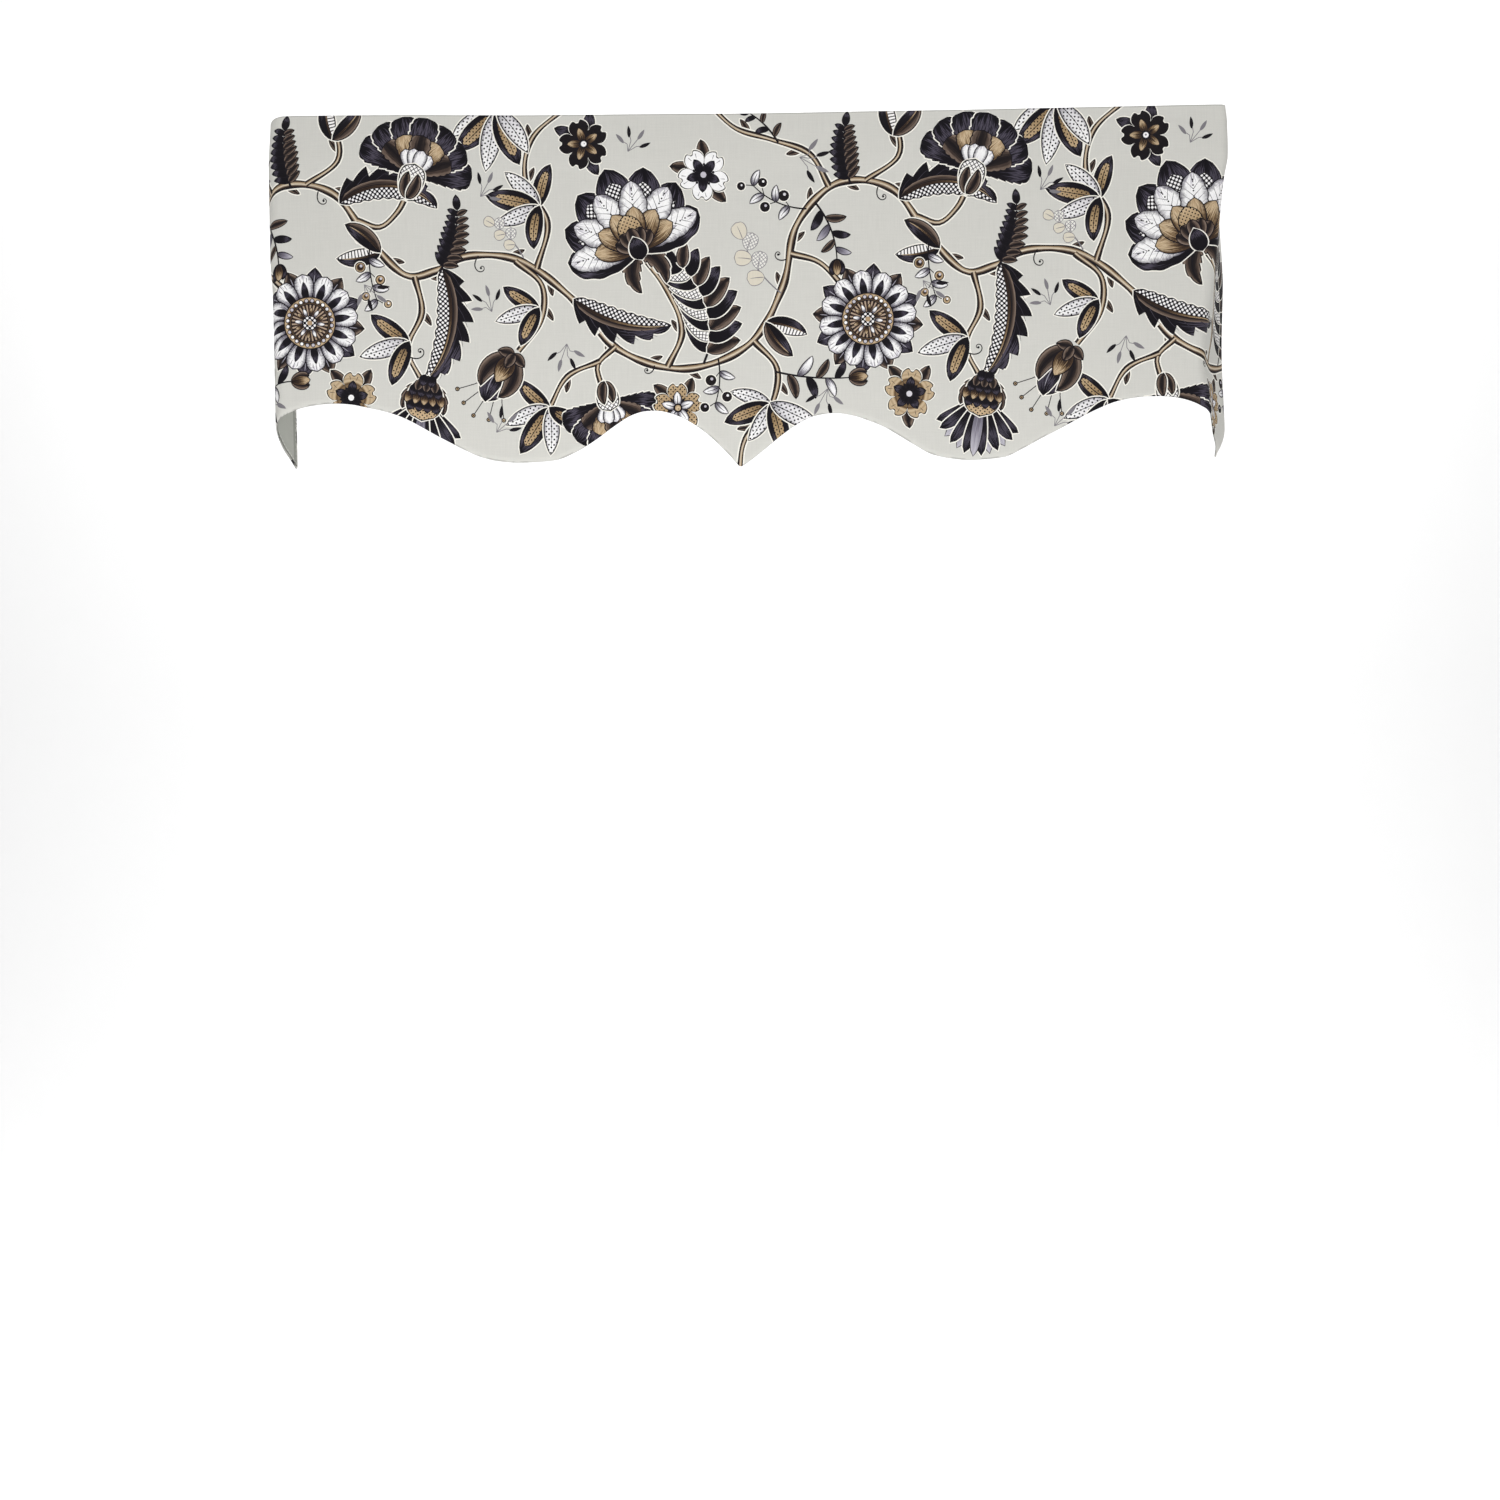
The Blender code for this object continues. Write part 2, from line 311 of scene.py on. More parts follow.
def makeSpine(place, angle, length, bend):
    # middle line of a leaf or petal: an arc that turns by bend radians
    bend = bend if abs(bend) > 0.02 else 0.02
    angle, curve = math.radians(angle), bend / length
    radius = 1.0 / curve
    return {"angle": angle, "length": length, "curve": curve, "radius": radius,
            "x": place[0] - radius * math.sin(angle), "y": place[1] + radius * math.cos(angle)}


def onSpine(spine, u, side=0.0):
    # flat points at share u of the spine, moved to its left by side
    heading = spine["angle"] + spine["curve"] * spine["length"] * np.asarray(u, float)
    reach = spine["radius"] - np.asarray(side, float)
    return np.stack([spine["x"] + reach * np.sin(heading),
                     spine["y"] - reach * np.cos(heading)], -1)


def offSpine(spine, points):
    # the other way: share along the spine and distance to its left
    sign = math.copysign(1.0, spine["radius"])
    x, y = points[:, 0] - spine["x"], points[:, 1] - spine["y"]
    turn = np.arctan2(sign * x, -sign * y) - spine["angle"]
    turn = (turn + math.pi) % (2 * math.pi) - math.pi
    return turn / (spine["curve"] * spine["length"]), spine["radius"] - sign * np.hypot(x, y)


def halfWidth(u, width, base, tip):
    # low base or tip makes that end blunt, high makes it drawn out
    u = np.clip(u, 0.0, 1.0)
    peak = base / (base + tip)
    return 0.5 * width * u ** base * (1.0 - u) ** tip / (peak ** base * (1.0 - peak) ** tip)


def edgeShare(u, edge):
    if not edge:
        return np.ones_like(u)
    style, count, depth = edge
    if style == "ruffled":
        return 1.0 + depth * np.sin(2 * math.pi * count * u) * np.sqrt(np.clip(u, 0, 1))
    if style == "scalloped":
        return 1.0 - depth * (1.0 - np.abs(np.sin(math.pi * count * u)))
    return 1.0 - depth * (1.0 - (count * u) % 1.0) ** 1.3      # barbed, pointing forward


def addLeaf(spine, leaf, ink, grow=0.0, sides=(1, -1), shares=(0.0, 1.0), scale=1.0):
    # closed leaf shape; sides are left 1, right -1 and the spine itself 0
    edge = leaf.get("edge")
    u = np.linspace(0.0, 1.0, max(12, int(edge[1] * 5) + 1) if edge else 12)
    if edge and edge[0] == "barbed":
        near = np.arange(1, edge[1]) / edge[1]
        u = np.sort(np.concatenate([u, near - 0.004, near + 0.004]))
    reach = grow / spine["length"]
    along = shares[0] - reach + (shares[1] - shares[0] + 2 * reach) * u
    inside = np.clip(along, 0.0, 1.0)
    wide = halfWidth(inside, leaf["width"], leaf["base"], leaf["tip"]) * scale
    wide = (wide * edgeShare(inside, edge) + grow) * ((u > 0.0) & (u < 1.0))
    left, right = (onSpine(spine, along, side * wide) for side in sides)
    points = np.concatenate([left, right[::-1]])
    points = points[np.hypot(*(points - np.roll(points, 1, 0)).T) > 0.012]
    addShape(points, ink, **({} if grow else {"spine": spine, "leaf": leaf}))


def petal(place, angle, length, width, ink, bend, base, tip, edge=None, panel=None,
          panelScale=0.5, rib=None, half=None, gap=True, line=1.0, start=0.0):
    # leaf or petal, start away from its joint: bare gap, dark outline, fill, then an
    # inner panel, half or rib
    spine = makeSpine(turned(place, angle, start), angle, length, bend)
    leaf = {"width": width, "base": base, "tip": tip, "edge": edge}
    lineWidth = printPlan["lineWidth"] * line
    if gap:
        addLeaf(spine, leaf, "gap", lineWidth + printPlan["gapWidth"])
    if line:
        addLeaf(spine, leaf, "line", lineWidth)
    addLeaf(spine, leaf, ink)
    if half:
        addLeaf(spine, leaf, half, sides=(0, -1))
    if panel:
        for colour, grow in (("line", 0.10), (panel, 0.0)):
            addLeaf(spine, dict(leaf, edge=None), colour, grow, shares=(0.16, 0.84),
                    scale=panelScale)
    if rib:
        addLeaf(spine, {"width": rib[1], "base": 0.25, "tip": 0.9}, rib[0],
                shares=(0.02, rib[2]))
    return spine


def turned(place, angle, along):
    a = math.radians(angle)
    return (place[0] + along * math.cos(a), place[1] + along * math.sin(a))


def fan(place, angle, turns, length, width, ink, bend, *ends, shrink=0.0, **extra):
    # petals spread from one joint; the outer ones are bent, and shorter by shrink a degree
    for turn in turns:
        petal(place, angle + turn, length - abs(turn) * shrink, width, ink,
              bend * turn / max(*turns, 1), *ends, **extra)


def addStrip(points, ink, startWidth, endWidth, grow=0.0, swell=1.0, **data):
    # a stroke along points, which may widen, swell and be grown all round
    points = np.asarray(points, float)
    wide = np.linspace(startWidth, endWidth, len(points)) / 2.0 * swell + grow
    aside = leftOf(np.gradient(points, axis=0)) * wide[:, None]
    addShape(np.concatenate([points + aside, (points - aside)[::-1]]), ink, **data)


def tapered(points, width, ink="line"):
    addStrip(points, ink, width, width * 0.35)


def disc(place, radius, ink, points):
    a = np.linspace(0, 2 * math.pi, points, endpoint=False)
    addShape(np.stack([place[0] + radius * np.cos(a), place[1] + radius * np.sin(a)], -1), ink,
             place=place, radius=radius)


def ringedDisc(place, outer, inner, ink, points, innerPoints=None):
    disc(place, outer, "line", points)
    disc(place, inner, ink, innerPoints or points)


def curveThrough(points):
    # smooth line through points; the one that spans a repeat runs on evenly past both ends
    p = np.asarray(points, float)
    before, after = 2 * p[0] - p[1], 2 * p[-1] - p[-2]
    if p[-1, 0] - p[0, 0] == printPlan["repeat"]:
        before = p[-2] - (printPlan["repeat"], 0.0)
        after = p[1] + (printPlan["repeat"], 0.0)
    p = np.concatenate([[before], p, [after]])
    out = []
    for a, b, c, d in zip(p, p[1:], p[2:], p[3:]):
        count = max(2, int(math.hypot(*(c - b)) / printPlan["stemStep"]))
        t = np.arange(count)[:, None] / count
        out.append(0.5 * (2 * b + (c - a) * t + (2 * a - 5 * b + 4 * c - d) * t ** 2
                          + (3 * b - a - 3 * c + d) * t ** 3))
    return np.concatenate(out + [p[-2][None]])


def vines(runs):
    # all gaps and outlines before the fills, so that the stems join cleanly; the first
    # run goes on into the next repeat
    lines = []
    for a, b, points in runs:
        a, b = a * printPlan["stemScale"], b * printPlan["stemScale"]
        line = curveThrough(points)
        first, count = 0, len(line) - 1
        if not lines:
            over = np.array([printPlan["repeat"], 0.0])
            line, first = np.concatenate([line[-3:-1] - over, line, line[1:3] + over]), -2
        knots = max(1, round(count * printPlan["stemStep"] / printPlan["knotSpacing"]))
        turn = 2 * math.pi * knots * (np.arange(len(line)) + first) / count
        lines.append((line, a, b, 1.0 + printPlan["swell"] * np.cos(turn)))
        for k in range(1, 2 * knots, 2):         # a small spur at every other swelling
            i = round(count * (k + 1) / (2 * knots)) - first
            if 3 <= i <= len(line) - 4:
                heading = math.degrees(math.atan2(*(line[i + 1] - line[i - 1])[::-1]))
                side = 1 if k % 4 == 1 else -1
                petal(line[i], heading + side * 54, 1.9, 0.62, "brown", side * -0.35, 0.5, 0.9,
                      line=0.8)
    for grow, ink in ((printPlan["stemGap"], "gap"), (printPlan["stemLine"], "line"),
                      (0.0, "stem")):
        for line, a, b, swell in lines:
            data = {} if grow else {"line": line, "width": (a + b) / 2}
            addStrip(line, ink, a, b, grow, swell, **data)


def sprigStem(place, angle, length, bend, widths, ink="line", points=14):
    # thin stem; gives back what finds the place and heading at a share of it
    spine = makeSpine(place, angle, length, bend)
    addStrip(onSpine(spine, np.linspace(0, 1, points)), ink, *widths)
    return lambda u: (onSpine(spine, u), angle + math.degrees(bend * u))


def tendril(place, angle, size, hand):
    turns, width = 1.2, 0.16
    a = np.linspace(0, 1, int(18 * turns) + 8)
    heading = math.radians(angle) + hand * 2 * math.pi * turns * a ** 1.6
    step = size * (1.0 - 0.82 * a) / len(a)
    line = np.stack([place[0] + np.cumsum(step * np.cos(heading)),
                     place[1] + np.cumsum(step * np.sin(heading))], -1)
    addStrip(line, "line", width, width * 0.5)
    disc(line[-1], width * 0.95, "line", 8)


def palmette(place, angle):
    # large layered flower seen from the side
    fan(place, angle, (118, -118), 5.6, 2.3, "brown", 1.5, 0.5, 0.9, ("barbed", 4, 0.28),
        rib=("line", 0.16, 0.8))
    fan(place, angle, (84, -84, 56, -56, 28, -28, 0), 10.6, 4.3, "black", -0.25, 0.9, 0.55,
        ("ruffled", 4, 0.05), shrink=0.022, panel="lace")
    for turn in (70, -70, 42, -42, 14, -14):
        bend = 0.3 * turn / 70
        spine = petal(place, angle + turn, 8.5, 3.5, "white", bend, 0.95, 0.6,
                      ("scalloped", 5, 0.10), gap=False)
        petal(place, angle + turn, 5.6, 1.2, "lilac", bend, 0.7, 1.0, gap=False, line=0.5)
        for k in range(7):                       # pairs of veins, and seeds between them
            u = 0.28 + (0.86 - 0.28) * k / 6
            far = halfWidth(np.array([min(u + 0.13, 1.0)]), 3.5, 0.95, 0.6)[0] * 0.80
            for side in (1, -1):
                tapered(onSpine(spine, [u, u + 0.13], [0.0, side * far]), 0.075)
        for u in (0.66, 0.74, 0.82, 0.90):
            disc(onSpine(spine, u), 0.11, "line", 7)
    fan(place, angle, (62, -62, 38, -38, 13, -13), 5.4, 2.5, "tan", 0.35, 0.9, 0.6,
        rib=("line", 0.13, 0.7), gap=False)
    petal(place, angle, 4.6, 2.9, "seeded", 0.0, 0.8, 0.6, gap=False)
    fan(place, angle, (52, -52, 26, -26, 0), 2.9, 1.5, "brown", 0.0, 0.8, 0.5, gap=False)
    petal(place, angle, 2.7, 1.9, "black", 0.0, 0.5, 0.7, start=-1.0)


def rosette(place, radius, turn0):
    # round flower seen from the front
    k = radius / 6.8
    for j in range(12):
        petal(place, turn0 + 30 * j + 15, 3.9 * k, 2.5 * k, "brown" if j % 2 else "black", 0.0,
              0.7, 0.9, rib=("lilac", 0.16, 0.8), start=3.0 * k)
    for j in range(12):
        aim = turn0 + 30 * j
        petal(place, aim, 3.5 * k, 2.35 * k, "white", 0.0, 0.6, 0.35, gap=False, start=2.6 * k)
        petal(place, aim, 2.7 * k, 0.95 * k, "black", 0.0, 0.7, 0.9, gap=False, line=0,
              start=2.6 * k)
        for aside, reach in ((-13, 0.86), (-7, 0.95), (0, 1.0), (7, 0.95), (13, 0.86)):
            heading = aim + aside * 0.62
            tapered([turned(place, heading, 6.0 * reach * k), turned(place, heading, 5.1 * k)],
                    0.10, "grey")
    ringedDisc(place, 3.35 * k, 3.2 * k, "tan", 36)
    for j in range(24):
        ringedDisc(turned(place, turn0 + 15 * j, 2.82 * k), 0.30 * k, 0.21 * k, "white", 9, 7)
    ringedDisc(place, 2.42 * k, 2.3 * k, "seedHead", 30)
    for j in range(12):
        petal(place, turn0 + 30 * j + 15, 1.0 * k, 0.42 * k, "white" if j % 2 else "tan", 0.0,
              0.6, 0.6, gap=False, line=0.6, start=0.9 * k)
    ringedDisc(place, 0.98 * k, 0.84 * k, "lace", 20)
    disc(place, 0.34 * k, "tan", 10)


def carnation(place, angle, k=1.0):
    # fan of toothed petals out of a cup
    heart = turned(place, angle, 1.2 * k)
    fan(heart, angle, (66, -66, 44, -44, 22, -22, 0), 7.2 * k, 3.3 * k, "black", 0.3, 1.1, 0.28,
        ("barbed", 7, 0.13))
    for turn in (48, -48, 24, -24, 0):
        petal(heart, angle + turn, 5.0 * k, 2.5 * k, "tan" if turn % 48 else "brown",
              0.25 * turn / 48, 1.0, 0.3, ("scalloped", 6, 0.12), gap=False)
    fan(heart, angle, (30, -30, 10, -10), 3.3 * k, 1.5 * k, "white", 0.0, 1.0, 0.4, gap=False,
        line=0.8)
    petal(place, angle, 4.2 * k, 2.9 * k, "net", 0.0, 0.55, 0.35, start=-1.6 * k)
    fan(turned(place, angle, -1.5 * k), angle, (34, -34), 3.2 * k, 1.2 * k, "brown", -0.8, 0.6,
        0.8)


def bellFlower(place, angle, k):
    # hanging bell with five stamens
    for turn in (-26.0, -13.0, 0.0, 13.0, 26.0):
        end = turned(place, angle + turn, (8.2 - abs(turn) * 0.03) * k)
        addStrip([turned(place, angle, 2.0 * k), turned(place, angle + turn * 0.8, 5.4 * k), end],
                 "line", 0.11, 0.11)
        ringedDisc(end, 0.30, 0.17, "tan", 8, 6)
    petal(place, angle, 5.6 * k, 3.4 * k, "net", 0.0, 0.6, 0.5)
    fan(place, angle, (24, -24), 6.2 * k, 2.5 * k, "black", -0.9, 0.6, 0.7,
        rib=("lilac", 0.18, 0.85))
    fan(place, angle, (58, -58), 5.4 * k, 1.9 * k, "brown", -1.5, 0.6, 0.8,
        rib=("line", 0.12, 0.8))
    petal(place, angle, 3.4 * k, 2.1 * k, "tan", 0.0, 0.6, 0.8, gap=False)
    fan(turned(place, angle, -0.5 * k), angle, (70, -70, 0), 1.9 * k, 1.1 * k, "brown", 0.0,
        0.6, 0.8, gap=False)


def blossom(place, radius, turn0, ink, inner):
    # small flat flower of five notched petals
    a = np.linspace(0, 2 * math.pi, 110, endpoint=False)
    lobe = np.abs(np.cos(2.5 * a))
    reach = 0.52 + 0.48 * lobe ** 0.5 - 0.16 * np.exp(-((1 - lobe) / 0.035) ** 2)
    heading = a + math.radians(turn0)
    spokes = np.stack([np.cos(heading), np.sin(heading)], -1)
    for j in (0, 1, 3):
        petal(place, turn0 + 72 * j + 36, radius * 1.25, radius * 0.46,
              "brown" if ink != "brown" else "black", 0.3, 0.8, 0.7, line=0.8, start=0.3)
    for grow, colour in ((0.27, "gap"), (0.13, "line"), (0.0, ink)):
        addShape(np.array(place) + spokes * (radius * reach + grow)[:, None], colour,
                 place=place, radius=radius)
    for j in range(5):
        aim = turn0 + 72 * j
        tapered([turned(place, aim + 36, radius * 0.25), turned(place, aim + 36, radius * 0.56)],
                0.13)
        for lean in (-11, 11):
            tapered([turned(place, aim + lean, radius * 0.86),
                     turned(place, aim + lean * 0.8, radius * 0.68)], 0.08)
        petal(place, aim, radius * 0.66, radius * 0.30, inner, 0.0, 0.8, 0.7, gap=False,
              line=0.8, rib=("line", 0.10, 0.8))
        disc(turned(place, aim + 36, radius * 0.40), radius * 0.055, "line", 7)
    ringedDisc(place, radius * 0.19, radius * 0.12, "white" if inner != "white" else "tan", 12, 10)


def acanthus(place, angle, length, width, bend, lobes, hand=1):
    # long curling leaf: toothed dark side, laced side, pale rib
    spine = makeSpine(place, angle, length, bend)
    leaf = {"width": width, "base": 0.55, "tip": 0.75, "edge": ("barbed", lobes, 0.52)}
    inner = dict(leaf, width=width * 0.62, edge=("scalloped", lobes + 3, 0.16))
    dark, laced = ((0, -1), (1, 0)) if hand == 1 else ((1, 0), (0, -1))
    for grow, colour, lace in ((0.28, "gap", "gap"), (0.13, "line", "line"), (0, "black", "lace")):
        addLeaf(spine, leaf, colour, grow, dark)
        addLeaf(spine, inner, lace, grow, laced)
    addLeaf(spine, {"width": width * 0.30, "base": 0.5, "tip": 0.9}, "brown", 0.0, dark,
            (0.0, 0.93))
    for k in range(lobes - 1):
        u = (k + 0.9) / lobes
        out = -hand * halfWidth(np.array([u]), width, 0.55, 0.75)[0]
        tapered(onSpine(spine, [u - 0.10, u - 0.03, u + 0.05], [out * 0.30, out * 0.55, out * 0.78]),
                0.10, "lilac")
    for grow, colour in ((0.09, "line"), (0.0, "tan")):
        addLeaf(spine, {"width": 0.34, "base": 0.2, "tip": 0.9}, colour, grow, shares=(0.0, 0.95))


def frond(place, angle, length, bend, pairs, wide, inks=("black",), others=("brown",), lean=46,
          full=0.42):
    # rib with paired leaflets that shorten towards the tip
    along = sprigStem(place, angle, length, bend, (0.30, 0.14))
    for j in range(pairs):
        u = 0.10 + 0.82 * j / pairs
        here, heading = along(u)
        size = wide * (1.0 - 0.62 * u) * (0.62 + 0.9 * min(u, 0.4))
        for side, colours in ((1, inks), (-1, others)):
            petal(here, heading + side * lean, size, size * full, colours[j % len(colours)],
                  side * 0.5, 0.6, 0.8, gap=full > 0.42, line=0.8)
    petal(along(0.90)[0], angle + math.degrees(bend), wide * 0.6, wide * 0.26, inks[0], 0.0,
          0.6, 0.8, gap=False)


def lanceSpray(place, angle, size, turns, first=0):
    # pointed leaves round one joint, bordered and spotted by turns
    for j, turn in enumerate(turns):
        far = size * (1.0 - 0.22 * abs(turn) / 82)
        if (j + first) % 2:
            petal(place, angle + turn, far * 0.98, far * 0.30, "spotted", -0.5 * turn / 82, 0.8,
                  0.9, rib=("line", 0.10, 0.95))
        else:
            petal(place, angle + turn, far, far * 0.36, "black", 0.5 * turn / 82, 0.75, 0.8,
                  panel="seeded", panelScale=0.52, rib=("line", 0.12, 0.84))


def budSprig(place, angle, length, bend, inks=("black", "brown", "lilac"), pairs=3, bud="black"):
    # thin stem with slender leaves by turns and a bud at its end
    along = sprigStem(place, angle, length, bend, (0.26, 0.15))
    for j in range(2 * pairs):
        u = 0.16 + 0.62 * j / (2 * pairs - 1)
        here, heading = along(u)
        side = 1 if j % 2 else -1
        size = length * (0.36 - 0.14 * u)
        petal(here, heading + side * 44, size, size * 0.34, inks[j % len(inks)], side * 0.6, 0.7,
              0.8, line=0.8, gap=False)
    for turn in (30, -30, 0):
        petal(along(0.96)[0], angle + math.degrees(bend) + turn, length * 0.24, length * 0.12,
              bud if turn else "tan", -0.5 * turn / 30, 0.7, 0.6, line=0.9, gap=False)


def coinSprig(place, angle, length, bend):
    # pale sprig with round leaves drawn in thin line
    along = sprigStem(place, angle, length, bend, (0.16, 0.12), "grey")
    for j in range(5):
        here, heading = along(0.34 + 0.64 * j / 4)
        size = length * 0.25
        spine = makeSpine(here, heading + (50 * (-1) ** j if j < 4 else 0), size, 0.2)
        leaf = {"width": size * 0.86, "base": 0.55, "tip": 0.38}
        addLeaf(spine, leaf, "grey", 0.09)
        addLeaf(spine, leaf, "fineNet" if j % 2 else "cream")
        addLeaf(spine, {"width": 0.10, "base": 0.25, "tip": 0.9}, "grey", shares=(0.0, 0.85))


def berrySprig(place, angle, length, bend, count, ink="brown"):
    along = sprigStem(place, angle, length, bend, (0.20, 0.12), points=16)
    for j in range(count):
        here, heading = along(0.28 + 0.68 * j / (count - 1))
        side = 1 if j % 2 else -1
        end = turned(here, heading + side * 48, 1.5)
        addStrip([here, turned(here, heading + side * 40, 0.8), end], "line", 0.11, 0.11)
        radius = 0.55 * (1.0 - 0.10 * j)
        for grow, colour in ((0.24, "gap"), (0.12, "line"), (0.0, ink)):
            disc(end, radius + grow, colour, 14)
        disc((end[0] + 0.18 * radius, end[1] + 0.30 * radius), radius * 0.34, "white", 8)
        petal(here, heading - side * 52, 2.0, 0.85, "white", -side * 0.5, 0.6, 0.8, gap=False,
              line=0.8, rib=("line", 0.09, 0.8))


def thistle(place, angle):
    # netted cup with a brush of narrow petals
    for turn in (38, -38, 24, -24, 12, -12, 31, -31, 18, -18, 6, -6, 0):
        petal(turned(place, angle, 1.0), angle + turn, 7.6 - abs(turn) * 0.03, 1.25,
              "black" if turn % 4 else "lilac", 0.5 * turn / 38, 0.9, 0.6, gap=turn % 4 > 0,
              line=0.7)
    fan(turned(place, angle, -0.8), angle, (72, -72), 4.4, 1.6, "brown", -1.2, 0.6, 0.8,
        ("barbed", 4, 0.25))
    petal(place, angle, 5.4, 4.3, "seeded", 0.0, 0.6, 0.45, start=-1.8)
    for row, count, ink in ((1.3, 4, "black"), (0.4, 5, "tan"), (-0.5, 4, "black"),
                            (-1.2, 3, "brown"), (-1.9, 2, "black")):
        for j in range(count):
            aside = (j - (count - 1) / 2) * 0.86
            start = turned(turned(place, angle, row), angle + 90, aside)
            petal(start, angle + 14 * aside, 1.35, 0.98, ink, 0.0, 0.5, 0.75, gap=False, line=0.8)


def ghostSpray(place, angle, size, hand):
    # faint little sprig in one thin ink
    for turn, far, ink in ((38, 0.9, "line"), (0, 1.0, "grey"), (-34, 0.8, "line"),
                           (74, 0.6, "grey")):
        aim, far = angle + hand * turn, size * far
        addStrip([place, turned(place, angle + hand * turn * 0.6, far * 0.5),
                  turned(place, aim, far)], "grey", 0.09, 0.09)
        petal(turned(place, angle + hand * turn * 0.9, far * 0.62), aim, size * 0.5,
              size * 0.15, ink, 0.2, 0.7, 0.9, gap=False, line=0)


def leafPair(place, angle, size, spread):
    # two leaves either side of a stem
    for side, other in ((1, "bars"), (-1, "brown")):
        petal(place, angle + side * spread / 2, size, size * 0.36, "black", side * -0.5, 0.75,
              0.8, half=other, rib=("tan", 0.26, 0.9))


